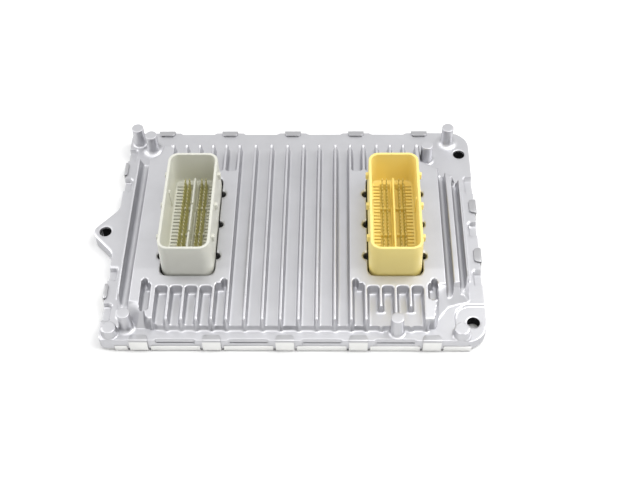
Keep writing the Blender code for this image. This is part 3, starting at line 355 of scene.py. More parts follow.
def surfaceMaterial(name, dark, light, driftSize, grainSize, roughness, bump, roughSpread=0.05,
                    bumpHeight=0.01, metallic=0.0, ior=None, paintedLightByHeight=None):
    # colour drifts between two hexes over a wide noise, and a fine grain lifts and roughens the surface
    material, tree, shader, place = startMaterial(name)
    drift = addNode(tree, "ShaderNodeTexNoise", {
        "Vector": place, "Scale": 1000.0 / driftSize, "Detail": 3.0, "Roughness": 0.55})
    grain = addNode(tree, "ShaderNodeTexNoise", {
        "Vector": place, "Scale": 1000.0 / grainSize, "Detail": 2.0, "Roughness": 0.6})
    colours = mixColours(tree, drift.outputs["Fac"], hexColour(dark), hexColour(light))
    rough = addNode(tree, "ShaderNodeMapRange", {
        "Value": grain.outputs["Fac"], "From Min": 0.3, "From Max": 0.7,
        "To Min": roughness - roughSpread, "To Max": roughness + roughSpread})
    lift = addNode(tree, "ShaderNodeBump", {
        "Height": grain.outputs["Fac"], "Strength": bump, "Distance": bumpHeight * 0.001})
    if paintedLightByHeight:
        # another colour takes over between two heights, given in millimetres: a painted shade on the sheet's
        # tab caps and a painted highlight on the pin tips
        low, high, above = paintedLightByHeight
        height = addNode(tree, "ShaderNodeSeparateXYZ", {"Vector": place})
        share = addNode(tree, "ShaderNodeMapRange", {
            "Value": height.outputs["Z"], "From Min": low * 0.001, "From Max": high * 0.001})
        colours = mixColours(tree, share.outputs["Result"], colours, hexColour(above))
    tree.links.new(colours, shader.inputs["Base Color"])
    tree.links.new(rough.outputs["Result"], shader.inputs["Roughness"])
    tree.links.new(lift.outputs["Normal"], shader.inputs["Normal"])
    shader.inputs["Metallic"].default_value = metallic
    if ior:
        shader.inputs["IOR"].default_value = ior
    return material


# Die-cast aluminium, shot blasted: pale satin with a fine grain and faint flow marks
castAluminium = surfaceMaterial("dieCastAluminium", "#B7B7BA", "#C5C5C8", driftSize=14.0, grainSize=0.45,
                                roughness=0.44, bump=0.25, bumpHeight=0.02, metallic=1.0)
# Rolled aluminium sheet, stamped: smoother and a little whiter than the casting; the tab caps over the flange
# get a painted shade, greyer than the rest
sheetAluminium = surfaceMaterial("stampedAluminiumSheet", "#D6D6D4", "#DEDEDC", driftSize=9.0, grainSize=0.3,
                                 roughness=0.33, bump=0.12, metallic=1.0, paintedLightByHeight=(7.4, 8.3, "#B4B4B6"))
# Polyester connector plastic, injection moulded: opaque, softly shiny, almost free of texture
polyester = {"driftSize": 10.0, "grainSize": 0.35, "roughness": 0.42, "bump": 0.08, "ior": 1.57}
greyPlastic = surfaceMaterial("mouldedGreyPolyester", "#D5D5CA", "#DBDBD1", **polyester)
yellowPlastic = surfaceMaterial("mouldedYellowPolyester", "#F9E286", "#FCE893", **polyester)
# Drawn bronze wire under a thin gold flash; the tips of the pins are painted paler, a painted highlight
pinMetal = surfaceMaterial("goldFlashedBronze", "#DDD8A2", "#E8E3B0", driftSize=3.0, grainSize=0.2,
                           roughness=0.45, bump=0.05, bumpHeight=0.005, metallic=1.0,
                           paintedLightByHeight=(22.6, 23.3, "#FFFAD8"))
# Cured silicone sealant: near black and dull
blackSealant = surfaceMaterial("curedBlackSilicone", "#141416", "#1C1C1E", driftSize=4.0, grainSize=0.5,
                               roughness=0.7, roughSpread=0.08, bump=0.2, bumpHeight=0.02, ior=1.41)
# The fixing holes' walls: painted shade, near black and dull, standing in for the shadow deep in the holes
boreShade = surfaceMaterial("paintedShadeBore", "#0E0E10", "#17171A", driftSize=2.0, grainSize=0.3,
                            roughness=0.75, roughSpread=0.08, bump=0.2, bumpHeight=0.02, ior=1.3)


# Cast cover: one relief surface with walls at its cut edges

coverHigh, plateHigh = nodeBox("cast_cover")[1], nodeBox("base_plate")[1]
headerBoxes = [nodeBox("header_grey"), nodeBox("header_yellow")]
headerCentres = [(low + high)[:2] / 2.0 for low, high in headerBoxes]
headerLow, headerHigh = headerBoxes[0]
footWidth = 2.8
headerHalf = (headerHigh - headerLow)[:2] / 2.0 - footWidth

cover = {
    "halfLength": coverHigh[0], "halfDepth": coverHigh[1],
    "leftCorner": 3.5, "rightCorner": 11.0,
    "bottom": 1.1, "flangeTop": 7.9, "grooveFloor": 11.0, "finTop": 17.5,
    "slopeStart": -34.3, "slopeAngle": 3.4,
    "front": -65.1, "rear": 54.5,
    "halfWall": 0.15, "crown": 0.7, "edgeRadius": 0.45, "floorRound": 1.5, "pocketCorner": 1.6,
    # each group of fins: (first, pitch, count)
    "leftFins": (-70.2, 7.48, 6), "centreFins": (-23.8, 8.98, 6), "rightFins": (29.3, 7.44, 6),
    "finWidth": 1.9, "noseRadius": 1.05, "noseReach": 0.8, "shortNose": -57.0,
    "platformFront": -45.0, "platformRear": 34.0, "pocketReach": 2.5,
    "windowGap": 0.6, "windowRadius": 4.2, "notchRadius": 2.3, "lugSpacing": 21.2, "windowDepth": 11.5,
    "holes": ((-102.6, -2.0), (91.2, 55.0), (90.6, -60.3)), "holeRadius": 3.3, "holeChamfer": 0.2,
    "earRadius": 6.0, "earSpread": ((-72.6, -1.25), 28.4),
    "lowBosses": ((-91.3, -67.6), (84.0, -67.9)), "lowBossTop": 12.8, "lowBossRadius": 3.9,
    "tabPitch": 36.5, "tabCentre": -3.65, "tabCount": 5,
    "slotHalf": 9.35, "slotReach": 0.8, "slotFloor": 5.5,
    # the lowered seat round the front right hole: left, right, front, rear and corner radius
    "seat": (81.5, 120.0, -100.0, -50.2, 8.0), "seatDrop": 1.0,
    # open pockets of the short sides: (side, front, rear)
    "sidePockets": ((1, 26.2, 36.7), (1, -4.5, 3.9), (1, -37.1, -28.7), (-1, 50.7, 58.6),
                    (-1, 27.5, 35.7), (-1, -34.5, -26.9), (-1, -60.0, -50.1)),
    "sidePocketReach": 4.2, "sidePocketFloor": 5.3,
    # the block's walls: half their width on the plan, their rounding, (side, x, y) where corners lean
    "blockDraft": 0.6, "blockRound": 1.0, "leaningCorners": ((1.0, 73.5, -44.0), (-1.0, 74.5, -55.0)),
}
# an open groove ends here, beyond the block
openEnd = 90.0
leftFins, centreFins, rightFins = (
    start + pitch * np.arange(count)
    for start, pitch, count in (cover["leftFins"], cover["centreFins"], cover["rightFins"]))
allFins = np.concatenate([leftFins, centreFins, rightFins])


def groovesOf(cover):
    # each groove is an oblong along y with rounded corners: (x, half width, front, rear)
    rows = []
    front, rear, reach = cover["platformFront"], cover["platformRear"], cover["pocketReach"]
    # the pocket beside the long grooves runs further back
    for fins, deeper in ((leftFins, 4), (rightFins, 0)):
        half = (fins[1] - fins[0] - cover["finWidth"]) / 2.0
        for index, middle in enumerate((fins[1:] + fins[:-1]) / 2.0):
            rows += [(middle, half, -openEnd, front + (reach - 0.8 if index == deeper else 0.0)),
                     (middle, half, rear, openEnd)]
    longFins = np.array([leftFins[-1], *centreFins, rightFins[0]])
    for left, right in zip(longFins, longFins[1:]):
        rows.append(((left + right) / 2.0, (right - left - cover["finWidth"]) / 2.0, -openEnd, openEnd))
    rows += [(-74.5, 2.25, -59.0, front + reach - 0.8), (70.5, 2.25, -52.5, front + reach - 0.8)]
    # the outer pockets run a little further back on one side
    rows += [(x, 1.35, front - 4.0, front + reach + 1.8) for x in (-75.4, -35.05, 31.6, 71.4)]
    rows += [(-85.0, 2.4, -openEnd, 44.9), (79.25, 1.75, -61.75, 35.95), (86.15, 1.65, -61.65, 29.45)]
    # two fins in front of the yellow header end early
    return rows + [(x, 3.6, -openEnd, cover["shortNose"]) for x in rightFins[[2, 4]]]


grooves = groovesOf(cover)
blockOutline = roundedOutline((
    (-89.5, -59.0, 2.0), (-81.5, -63.0, 2.0), (-78.0, cover["front"], 2.0), (71.5, cover["front"], 2.0),
    (73.0, -59.0, 4.0), (78.5, -51.5, 4.0), (84.5, -49.5, 2.0), (89.5, -48.5, 2.0), (89.5, 27.0, 3.0),
    (75.0, 38.2, 1.5), (68.6, 41.6, 1.5), (68.6, cover["rear"], 1.5), (-75.5, cover["rear"], 2.0),
    (-78.0, 46.5, 4.0), (-82.5, 43.5, 4.0), (-89.5, 44.5, 3.0),
))


def besideFin(x):
    # how far the middle of the nearest fin is
    return np.abs(x[..., None] - allFins).min(axis=-1)


def blockDistance(x, y):
    # inside of the raised block, whose front edge bulges round each fin nose
    depth = outlineDistance(x, y, blockOutline)
    noseY = cover["front"] + cover["noseRadius"] - cover["noseReach"]
    nose = cover["noseRadius"] - np.hypot(besideFin(x), y - noseY)
    return softMax(depth, nose, 0.5)


def oblongDistance(x, y, groove):
    # inside of one groove
    centre, half, front, rear = groove
    return boxDistance(x, y, centre - half, centre + half, front, rear, cover["pocketCorner"])


def grooveDistance(x, y):
    # inside of the nearest groove
    depth = np.full(x.shape, -9.0)
    for groove in grooves:
        near = np.abs(x - groove[0]) < groove[1] + 1.5
        depth[near] = np.maximum(depth[near], oblongDistance(x[near], y[near], groove))
    return depth


def earDistance(x, y):
    # inside of the hull of two circles: the ear's tip and a wide one within the cover
    (farX, farY), farRadius = cover["earSpread"]
    tipX, tipY = cover["holes"][0]
    length = math.hypot(farX - tipX, farY - tipY)
    alongX, alongY = (farX - tipX) / length, (farY - tipY) / length
    across = np.abs((y - tipY) * alongX - (x - tipX) * alongY)
    along = (x - tipX) * alongX + (y - tipY) * alongY
    lean = (cover["earRadius"] - farRadius) / length
    upright = math.sqrt(1.0 - lean ** 2)
    share = along * upright - across * lean
    tip = cover["earRadius"] - np.hypot(across, along)
    far = farRadius - np.hypot(across, along - length)
    side = cover["earRadius"] - (across * upright + along * lean)
    return np.where(share < 0.0, tip, np.where(share > upright * length, far, side))


def flangeDistance(x, y, part):
    # inside of the cover's or the plate's rectangle, with larger corners at the right
    halfX, halfY = part["halfLength"], part["halfDepth"]
    radius = np.where(x > 0.0, cover["rightCorner"], cover["leftCorner"])
    return boxDistance(x, y, -halfX, halfX, -halfY, halfY, radius)


def sideDistance(x, y):
    # inside of the cover's outline, with the ear blended on
    return softMax(flangeDistance(x, y, cover), earDistance(x, y), 2.0)


def holeDistance(x, y):
    # outside of the fixing holes
    return nearestOf(x, y, cover["holes"]) - cover["holeRadius"]


def windowDistance(x, y):
    # outside of the header windows and the notches along their long sides
    depth = np.full(x.shape, 99.0)
    halfX, halfY = headerHalf + cover["windowGap"]
    notchPlaces = [(halfX, step * cover["lugSpacing"]) for step in (-1, 0, 1)]
    for centreX, centreY in headerCentres:
        offX, offY = np.abs(x - centreX), y - centreY
        window = boxDistance(offX, offY, -halfX, halfX, -halfY, halfY, cover["windowRadius"])
        notches = nearestOf(offX, offY, notchPlaces) - cover["notchRadius"]
        depth = np.min([depth, -window, notches], axis=0)
    return depth


def coverKeep(x, y):
    return np.min([sideDistance(x, y), holeDistance(x, y), windowDistance(x, y)], axis=0)


def lowBossDistance(x, y):
    return cover["lowBossRadius"] - nearestOf(x, y, cover["lowBosses"])


def seatDistance(x, y):
    return boxDistance(x, y, *cover["seat"])


def slotDistance(x, y):
    # inside of the shallow recesses between the crimp tabs, whose ends slant outwards
    pitch, along = cover["tabPitch"], x - cover["tabCentre"]
    span = pitch / 2.0 * (cover["tabCount"] - 1)
    offset = (along + span) % pitch - pitch / 2.0
    depth = np.abs(y) - (cover["halfDepth"] - cover["slotReach"])
    ends = (cover["slotHalf"] - np.abs(offset) + depth) * 0.707
    return np.minimum(np.minimum(depth, ends), span - np.abs(along))


def sidePocketDistance(x, y):
    depth = np.full(x.shape, -9.0)
    wall = cover["halfLength"] - cover["sidePocketReach"]
    for sign, front, rear in cover["sidePockets"]:
        depth = np.maximum(depth, boxDistance(sign * x, y, wall, 120.0, front, rear, 1.2))
    return depth


def coverHeight(x, y):
    # the block's walls and sloping front, less every groove, then the small forms of the flange
    flange, halfWall = cover["flangeTop"], cover["halfWall"]
    ceiling = cover["finTop"] - math.tan(math.radians(cover["slopeAngle"])) \
        * np.clip(cover["slopeStart"] - y, 0.0, None)
    depth = blockDistance(x, y)
    rounding = cover["blockRound"]
    height = wallProfile(depth, flange, ceiling, rounding, rounding, cover["blockDraft"])
    # both front corners lean back: the wall steepens towards the front edge and the long grooves
    for side, startX, startY in cover["leaningCorners"]:
        lean = 1.1 + 9.0 * (np.clip((startX - side * x) / 3.0, 0.0, 1.0) ** 2
                            + np.clip((y - startY) / 6.0, 0.0, 1.0) ** 2)
        leaning = np.maximum(-softMax(-height, -flange - lean * np.maximum(depth, 0.0), 2.5), flange)
        height = np.where((side * x > 68.0) & (y < startY + 8.0), leaning, height)
    # the wide short grooves have tight floors, and the long one at the left has a round one
    for groove in grooves:
        centre, half = groove[:2]
        near = np.abs(x - centre) < half + 1.2
        floorRound = 2.2 if centre < -80.0 else 1.0 if half > 3.2 else cover["floorRound"]
        channel = wallProfile(-oblongDistance(x[near], y[near], groove), cover["grooveFloor"], ceiling[near],
                              min(half - halfWall - 0.1, floorRound), cover["crown"], halfWall)
        height[near] = np.minimum(height[near], channel)
    # each fin swells a little where it ends at the rear
    swell = np.clip(1.0 - ((y - cover["rear"] + 1.6) / 1.1) ** 2, 0.0, 1.0) \
        * np.clip(1.0 - (besideFin(x) / 1.5) ** 2, 0.0, 1.0)
    height = height + 0.7 * swell * (height > 14.0)
    boss, seat = lowBossDistance(x, y), seatDistance(x, y)
    height = np.maximum(height, wallProfile(boss, flange, cover["lowBossTop"], 0.7, 0.35, halfWall))
    lowered = wallProfile(-seat, flange - cover["seatDrop"], flange, 0.3, 0.3, halfWall)
    height = np.where((boss < -1.0) & (seat > -0.5), np.minimum(height, lowered), height)
    # a fine channel runs along the inner side of each slot
    slot = slotDistance(x, y)
    lowered = wallProfile(-slot, cover["slotFloor"], flange, 0.2, 0.4, halfWall) \
        - 0.9 * np.clip(1.0 - np.abs(slot - 0.3) / 0.17, 0.0, 1.0)
    height = np.where((boss < -0.5) & (slot > -1.0), np.minimum(height, lowered), height)
    pocket = sidePocketDistance(x, y)
    lowered = wallProfile(-pocket, cover["sidePocketFloor"], flange, 0.6, 0.5, halfWall)
    height = np.where(pocket > -1.0, np.minimum(height, lowered), height)
    radius = cover["edgeRadius"]
    for edge in (sideDistance(x, y), windowDistance(x, y)):
        height = height - radius + np.sqrt(radius ** 2 - (radius - np.clip(edge, 0.0, radius)) ** 2)
    return height - np.clip(cover["holeChamfer"] - holeDistance(x, y), 0.0, cover["holeChamfer"])


def coverLines():
    # lines on the walls and curves of every groove, and at the straight edges of the rest
    halfWall, halfX, halfY = cover["halfWall"], cover["halfLength"], cover["halfDepth"]
    across = np.array([-0.95, -0.7, -0.42, -halfWall, halfWall, 0.45, 0.95, 1.7])
    borders = np.array([0.0, 0.13, 0.3, 0.5])
    bends = np.array([halfWall, 0.4, 0.65, 0.95])
    slotEdges = halfY - cover["slotReach"] + np.array([-0.6, -halfWall, 0.13, 0.3, 0.47])
    windowX, windowY = (half + cover["windowGap"] + borders for half in headerHalf)
    front, rear = cover["platformFront"], cover["platformRear"]
    wall = np.array([-halfWall, halfWall])
    earTip = cover["holes"][0][0] - cover["earRadius"]
    seatLeft, _, _, seatRear, _ = cover["seat"]
    sides = np.array([*(halfX - cover["sidePocketReach"] + wall), 89.65, 89.35, 89.0, 88.6])
    xMarks = [earTip, -halfX, halfX, *(seatLeft + wall)]
    # the last two grooves only shorten fins and need no lines
    for centre, half, _, _ in grooves[:-2]:
        xMarks += [centre, *(centre - half + across), *(centre + half - across)]
    yMarks = [cover["slopeStart"], *(seatRear + wall), *(front - across), *(rear + across),
              *(front + cover["pocketReach"] - across)]
    for end in (cover["front"], cover["rear"]):
        yMarks += [*(end + bends), *(end - bends)]
    for sign in (-1, 1):
        xMarks += [*(sign * (halfX - borders)), *(sign * sides)]
        yMarks += [*(sign * (halfY - borders)), *(sign * slotEdges), *(headerCentres[0][1] + sign * windowY)]
        for centreX, _ in headerCentres:
            xMarks += [*(centreX + sign * windowX)]
    xLines = gridLines(xMarks, ((-97.0, 0.55), (-88.0, 0.6), (88.0, 0.75), (200.0, 0.6)))
    yLines = gridLines(yMarks, ((-58.0, 0.4), (-40.0, 0.5), (26.0, 0.95), (40.0, 0.5), (50.0, 0.9),
                                (57.0, 0.4), (200.0, 0.5)))
    return xLines, yLines


def buildCover():
    # the underside is kept near the outline, under the ear and round the holes
    walls = grooveDistance, blockDistance, lowBossDistance, seatDistance, sidePocketDistance
    grid = trimmedGrid(*coverLines(), coverKeep, walls, cover["halfWall"])
    x, y = grid[:2]
    inWindow = windowDistance(x, y) < 0.2
    bottom = np.where(inWindow, cover["windowDepth"], np.where(x < -97.2, 0.0, cover["bottom"]))
    underside = ((sideDistance(x, y) < 3.5) | (x < -96.0) | (holeDistance(x, y) < 2.0)) & ~inWindow
    body = reliefBody(grid, coverHeight(x, y), bottom, underside)
    makePiece("castCover", body, castAluminium, "casting", "cast_cover")


tallBosses = {
    "top": coverHigh[2], "radius": 3.4, "topRadius": 3.25,
    # x, y, flare at the foot
    "places": ((-91.6, 64.3, 1.2), (-83.3, 58.7, 3.4), (84.8, 64.3, 3.2), (72.4, 50.8, 1.6),
               (52.0, -66.6, 1.4), (-83.3, -64.0, 2.2)),
}


def buildBosses():
    # a fillet at the foot, a drafted side and a small chamfer, turned about each boss's axis
    parts = []
    base, top = cover["flangeTop"], tallBosses["top"]
    radius, topRadius = tallBosses["radius"], tallBosses["topRadius"]
    for x, y, flare in tallBosses["places"]:
        fillet = arcSection((radius + flare, base + 0.02), (radius, base + flare * 0.9), 0, 9)
        shoulder = arcSection((topRadius, top - 0.3), (topRadius - 0.3, top), 1, 5)
        profile = [(radius + flare, base - 1.0), *fillet, *shoulder, (topRadius - 1.6, top)]
        parts.append(turned(profile, (x, y)))
    makePiece("locatingBosses", joinParts(parts), castAluminium, "casting")


def buildBores():
    # a thin lining in each fixing hole, facing its axis, that carries the holes' painted shade
    parts = []
    radius = cover["holeRadius"] - 0.03
    for place, low in zip(cover["holes"], (0.05, cover["bottom"], cover["bottom"])):
        points, faces = turned([(radius, cover["flangeTop"] - 1.5), (radius, low)], place)
        parts.append((points[:-2], faces[:1]))
    makePiece("fixingBores", joinParts(parts), boreShade, "casting")


buildCover()
buildBosses()
buildBores()


# Base plate: sheet with relief notches, and tabs bent up and crimped over the flange

plate = {
    "halfLength": cover["halfLength"] - 0.3, "halfDepth": cover["halfDepth"] - 0.3,
    "thickness": 0.8, "tabWidth": 9.2, "tabReach": 2.9, "bendRadius": 0.75, "sheet": 0.7,
    "notchWidth": 2.0, "notchDepth": 1.4, "holes": cover["holes"][1:], "holeRadius": 3.35,
    "rightTabs": (15.5, -18.5), "leftTabs": (43.2, -42.3), "leftReach": 0.4, "rimTop": 3.6,
}
tabSteps = np.arange(cover["tabCount"]) - (cover["tabCount"] - 1) / 2.0
tabRow = cover["tabCentre"] + cover["tabPitch"] * tabSteps


def notchDistance(x, y):
    # inside of the relief notches on both sides of every tab
    tab, notch = plate["tabWidth"] / 2.0, plate["notchWidth"] / 2.0
    sideTabs = np.where(x[..., None] > 0.0, plate["rightTabs"], plate["leftTabs"])
    found = []
    for along, tabs, outward, size in (
            (x, tabRow, y, plate["halfDepth"]), (y, sideTabs, x, plate["halfLength"])):
        beside = np.abs(np.abs(along[..., None] - tabs) - tab - notch).min(axis=-1)
        found.append(np.minimum(notch - beside, np.abs(outward) - (size - plate["notchDepth"])))
    return np.maximum(*found)


def plateKeep(x, y):
    holes = nearestOf(x, y, plate["holes"]) - plate["holeRadius"]
    return np.minimum(np.minimum(flangeDistance(x, y, plate), holes), -notchDistance(x, y))


def buildPlate():
    half, notch = plate["tabWidth"] / 2.0, plate["notchWidth"]
    ends = np.array([-half - notch, -half, half, half + notch])
    sideTabs = np.array([*plate["rightTabs"], *plate["leftTabs"]])
    lines = []
    for size, places, zones in (
            (plate["halfLength"], tabRow, ((-80.0, 1.0), (80.0, 3.0), (200.0, 0.8))),
            (plate["halfDepth"], sideTabs, ((-45.0, 1.0), (45.0, 3.0), (200.0, 1.0)))):
        inner = size - plate["notchDepth"]
        lines.append(gridLines([-size, -inner, inner, size, *(places[:, None] + ends).ravel()], zones))
    grid = trimmedGrid(*lines, plateKeep, (), 0.0)
    flat = np.full(grid[0].size, plate["thickness"])
    sheet = reliefBody(grid, flat, flat * 0.0, flat > 0.0)
    makePiece("crimpedBasePlate", joinParts([sheet, *tabParts(), *rimParts()]), sheetAluminium,
              "sheet", "base_plate")


def rimParts():
    # the sheet's edge turned up between the tabs, front and rear
    reach, top = plate["tabWidth"] / 2.0 + plate["notchWidth"] * 0.6, plate["rimTop"] / 2.0
    end = cover["halfLength"] - 8.0
    parts = []
    for low, high in zip([-end, *(tabRow + reach)], [*(tabRow - reach), end]):
        for y in (-cover["halfDepth"] - 0.25, cover["halfDepth"] + 0.25):
            parts.append(softBlock(((low + high) / 2.0, y, top), ((high - low) / 2.0, 0.35, top), 0.25))
    return parts


def tabParts():
    # a strip of rounded section goes up the side, bends and narrows over the flange
    bend, sheet = plate["bendRadius"], plate["sheet"]
    wall = 0.3 + sheet / 2.0
    lowLevel, topLevel = sheet / 2.0 + 0.05, plateHigh[2] - sheet / 2.0
    lower = arcSection((wall - bend, lowLevel), (wall, lowLevel + bend), 0, 7)
    upper = arcSection((wall, topLevel - bend), (wall - bend, topLevel), 1, 9)
    steps = np.array([0.2, 0.4, 0.6, 0.75, 0.88, 0.96, 1.0])
    over = np.column_stack([wall - bend - plate["tabReach"] * steps, np.full(7, topLevel)])
    path = np.vstack([[(-3.0, lowLevel)], lower, [(wall, 3.5), (wall, 5.5)], upper, over])
    slope = np.gradient(path, axis=0)
    slope /= np.hypot(*slope.T)[:, None]
    normal = np.column_stack([slope[:, 1], -slope[:, 0]])
    share = np.clip((wall - bend - path[:, 0]) / plate["tabReach"], 0.0, 1.0) * (path[:, 1] > 5.0)
    widths = plate["tabWidth"] / 2.0 * (1.0 - 0.08 * share - 0.22 * share ** 6)
    section = roundedLoop(1.0, 1.0, 0.35, 4, 5)
    inset = np.abs(section[:, 0])
    across = np.sign(section[:, 0]) * (widths[:, None] - sheet / 2.0 * (1.0 - inset))
    across = np.where(inset < 0.64, section[:, 0] * widths[:, None], across)
    lift = section[:, 1] * sheet / 2.0
    outward, height = (path[:, [axis]] + normal[:, [axis]] * lift for axis in (0, 1))
    halfX, halfY = cover["halfLength"], cover["halfDepth"]
    short = np.where(outward < 0.0, outward * plate["leftReach"], outward)
    tabs = [(place + across, -halfY - outward) for place in tabRow]
    tabs += [(place - across, halfY + outward) for place in tabRow]
    tabs += [(halfX + outward, place + across) for place in plate["rightTabs"]]
    tabs += [(-halfX - short, place - across) for place in plate["leftTabs"]]
    return [loftRings(np.stack([x, y, height + 0.0 * across], axis=-1)) for x, y in tabs]


buildPlate()


# Headers: shroud, comb floor, keying blade, lugs, and the pins as their own metal piece

header = {
    "top": headerHigh[2], "cornerRadius": 5.8, "wall": 1.5, "rimRound": 0.45, "taper": 0.4,
    "land": 17.5, "wellFloor": 14.5, "footBottom": 11.2, "footTop": 13.0, "footWidth": footWidth,
    "pinPitch": 2.3, "pinColumns": 24, "pinRows": (-5.6, -3.3, 3.3, 5.6), "pinHalf": 0.32, "pinTop": 24.0,
    "partition": 1.3, "wellHalf": 6.8, "combReach": 11.0, "toothHalf": 0.85,
    "barPlaces": (12.0, -5.9), "barHalf": 0.9, "barTop": 16.6,
    # the blade along the middle: (front, rear, shift sideways) of its lengths
    "blades": {"grey": ((-27.6, -11.6, -0.12), (-10.9, 6.9, 0.0), (7.6, 25.8, 0.12)),
               "yellow": ((-27.6, 25.8, 0.0),)}, "bladeHalf": 0.65, "bladeTop": 25.8,
    "lugHalf": (1.2, 1.1, 1.9), "lugHeight": 31.9, "lugReach": 13.6,
    # twin ribs on the inner walls: (side, y) of each pair
    "ribs": {"grey": ((-1, 9.6),), "yellow": ((1, 5.0), (-1, 5.0))},
    "ribHalf": (0.6, 0.45, 5.5), "ribHeight": 27.2, "ribReach": 11.55,
    # section of the black bead, the real seal near the header and wider beyond it as a painted shade seen
    # down the window gaps and notches: (outwards from the header's side, height)
    "sealAndShadeBead": ((-0.3, 12.6), (4.4, 12.6), (4.4, 13.2), (3.6, 13.7), (1.2, 13.9), (0.3, 14.2), (-0.3, 14.3)),
}
combSpan = header["pinPitch"] * header["pinColumns"] / 2.0


def buildShroud(colour, centre, material):
    # the profile, (inset from the outer face, height), goes up outside, over the rim and down inside
    top, wall, rim, taper = header["top"], header["wall"], header["rimRound"], header["taper"]
    land, footTop, width = header["land"], header["footTop"], header["footWidth"]
    middle = (top + land) / 2.0
    outer = arcSection((taper, top - rim), (taper + rim, top), 1, 5)
    inner = arcSection((taper + wall - rim, top), (taper + wall, top - rim), 0, 5)
    foot = arcSection((0.25, footTop), (0.0, footTop + 0.25), 0, 3)
    corner = arcSection((taper + wall + 0.4, land + 1.0), (taper + wall + 1.4, land), 1, 6)
    profile = np.vstack([
        [(-width, header["footBottom"]), (-width, footTop - 0.2), (-width + 0.2, footTop)], foot,
        [(0.0, land), (taper * 0.5, middle)], outer, inner, [(taper + wall + 0.15, middle)], corner,
    ])
    halfX, halfY = headerHalf
    sections = [(halfX - inset, halfY - inset, max(header["cornerRadius"] - inset * 0.9, 0.6), height)
                for inset, height in profile]
    parts = [loftSections(sections, centre, True, False), buildComb(centre)]
    parts.extend(buildBlade(colour, centre))
    for side in (-1, 1):
        for step in (-1, 0, 1):
            x, y = centre[0] + side * header["lugReach"], centre[1] + step * cover["lugSpacing"]
            parts.append(softBlock((x, y, header["lugHeight"]), header["lugHalf"], 0.35))
    for side, y in header["ribs"][colour]:
        for shift in (-0.5, 0.5):
            place = centre[0] + side * header["ribReach"], centre[1] + y + shift, header["ribHeight"]
            parts.append(softBlock(place, header["ribHalf"], 0.15))
    makePiece(colour + "Header", joinParts(parts), material, colour + "_plastic", "header_" + colour)
    # black bead between the foot and the cover: the real seal, and a painted shade where it reaches out under
    # the window gaps and notches
    sealAndShadeBead = [(halfX + reach, halfY + reach, header["cornerRadius"] + reach, height)
            for reach, height in header["sealAndShadeBead"]]
    makePiece(colour + "SealAndShade", loftSections(sealAndShadeBead, centre, False, False), blackSealant,
              "sealant", "header_seal_" + colour)


def combDepth(x, y):
    # inside of the two pin wells and of the slots between the comb teeth beside them
    pitch, sideways = header["pinPitch"], np.abs(x)
    inner = np.minimum(sideways - header["partition"], combSpan - np.abs(y))
    slot = pitch / 2.0 - header["toothHalf"] - np.abs((y + combSpan) % pitch - pitch / 2.0)
    slot = np.minimum(slot, header["combReach"] - sideways)
    return np.minimum(inner, np.maximum(header["wellHalf"] - sideways, slot))


def buildComb(centre):
    # the socket's floor as a relief: comb teeth, wells and the bars across them
    edges = np.array([-0.3, -0.05, 0.05, 0.2])
    halfX, halfY = headerHalf - header["taper"] - header["wall"] + 0.2
    xMarks = [-halfX, halfX, 0.0]
    for place in (header["partition"], header["wellHalf"], header["combReach"]):
        xMarks += [*(place + edges), *(-place + edges)]
    yMarks = [-halfY, halfY]
    teeth = np.arange(header["pinColumns"] + 1) * header["pinPitch"] - combSpan
    for places, half in ((teeth, header["toothHalf"]), (header["barPlaces"], header["barHalf"])):
        for place in places:
            yMarks += [*(place + half + edges), *(place - half - edges)]
    grid = trimmedGrid(gridLines(xMarks, ((200.0, 1.2),)), gridLines(yMarks, ((200.0, 1.2),)),
                       lambda x, y: boxDistance(x, y, -halfX, halfX, -halfY, halfY, 4.0), (), 0.0)
    x, y = grid[:2]
    height = wallProfile(-combDepth(x, y), header["wellFloor"], header["land"], 0.15, 0.25, 0.05)
    for bar in header["barPlaces"]:
        inside = header["barHalf"] - np.abs(y - bar)
        rise = wallProfile(inside, header["wellFloor"], header["barTop"], 0.15, 0.25, 0.05)
        height = np.where(np.abs(x) < header["wellHalf"], np.maximum(height, rise), height)
    points, faces = reliefBody(grid, height, height * 0.0 + header["footBottom"] + 0.5, x > 1e9)
    return points + (*centre, 0.0), faces


def buildBlade(colour, centre):
    # a thin wall along the middle with a round top, in one length or in three that step sideways
    half, top = header["bladeHalf"], header["bladeTop"]
    profile = np.vstack([[(0.0, header["land"] - 0.5), (0.05, 21.0)],
                         arcSection((0.1, top - half), (half - 0.02, top), 1, 6)])
    parts = []
    for front, rear, shift in header["blades"][colour]:
        sections = [(half - inset, (rear - front) / 2.0 - inset, max(half - inset, 0.01), height)
                    for inset, height in profile]
        parts.append(loftSections(sections, centre + (shift, (front + rear) / 2.0)))
    return parts


def buildPins(colour, centre):
    # a square post with a tapered tip, repeated at every column and row of the comb
    half, top = header["pinHalf"], header["pinTop"]
    levels = ((half, header["wellFloor"] - 0.5), (half, top - 0.9),
              (half * 0.85, top - 0.6), (half * 0.35, top))
    corners = np.array([(1, 1), (-1, 1), (-1, -1), (1, -1)])
    points, faces = loftRings(np.stack([
        np.column_stack([corners * size, np.full(4, height)]) for size, height in levels]))
    columns = (np.arange(header["pinColumns"]) + 0.5) * header["pinPitch"] - combSpan
    posts = [(points + (centre[0] + x, centre[1] + y, 0.0), faces)
             for y in columns for x in header["pinRows"]]
    makePiece(colour + "Pins", joinParts(posts), pinMetal, colour + "_plastic")


sockets = [("grey", headerCentres[0], greyPlastic), ("yellow", headerCentres[1], yellowPlastic)]
for colour, centre, plastic in sockets:
    buildShroud(colour, centre, plastic)
for colour, centre, _ in sockets:
    buildPins(colour, centre)


# Parts inside the housing keep their CAD shapes and get their real finishes

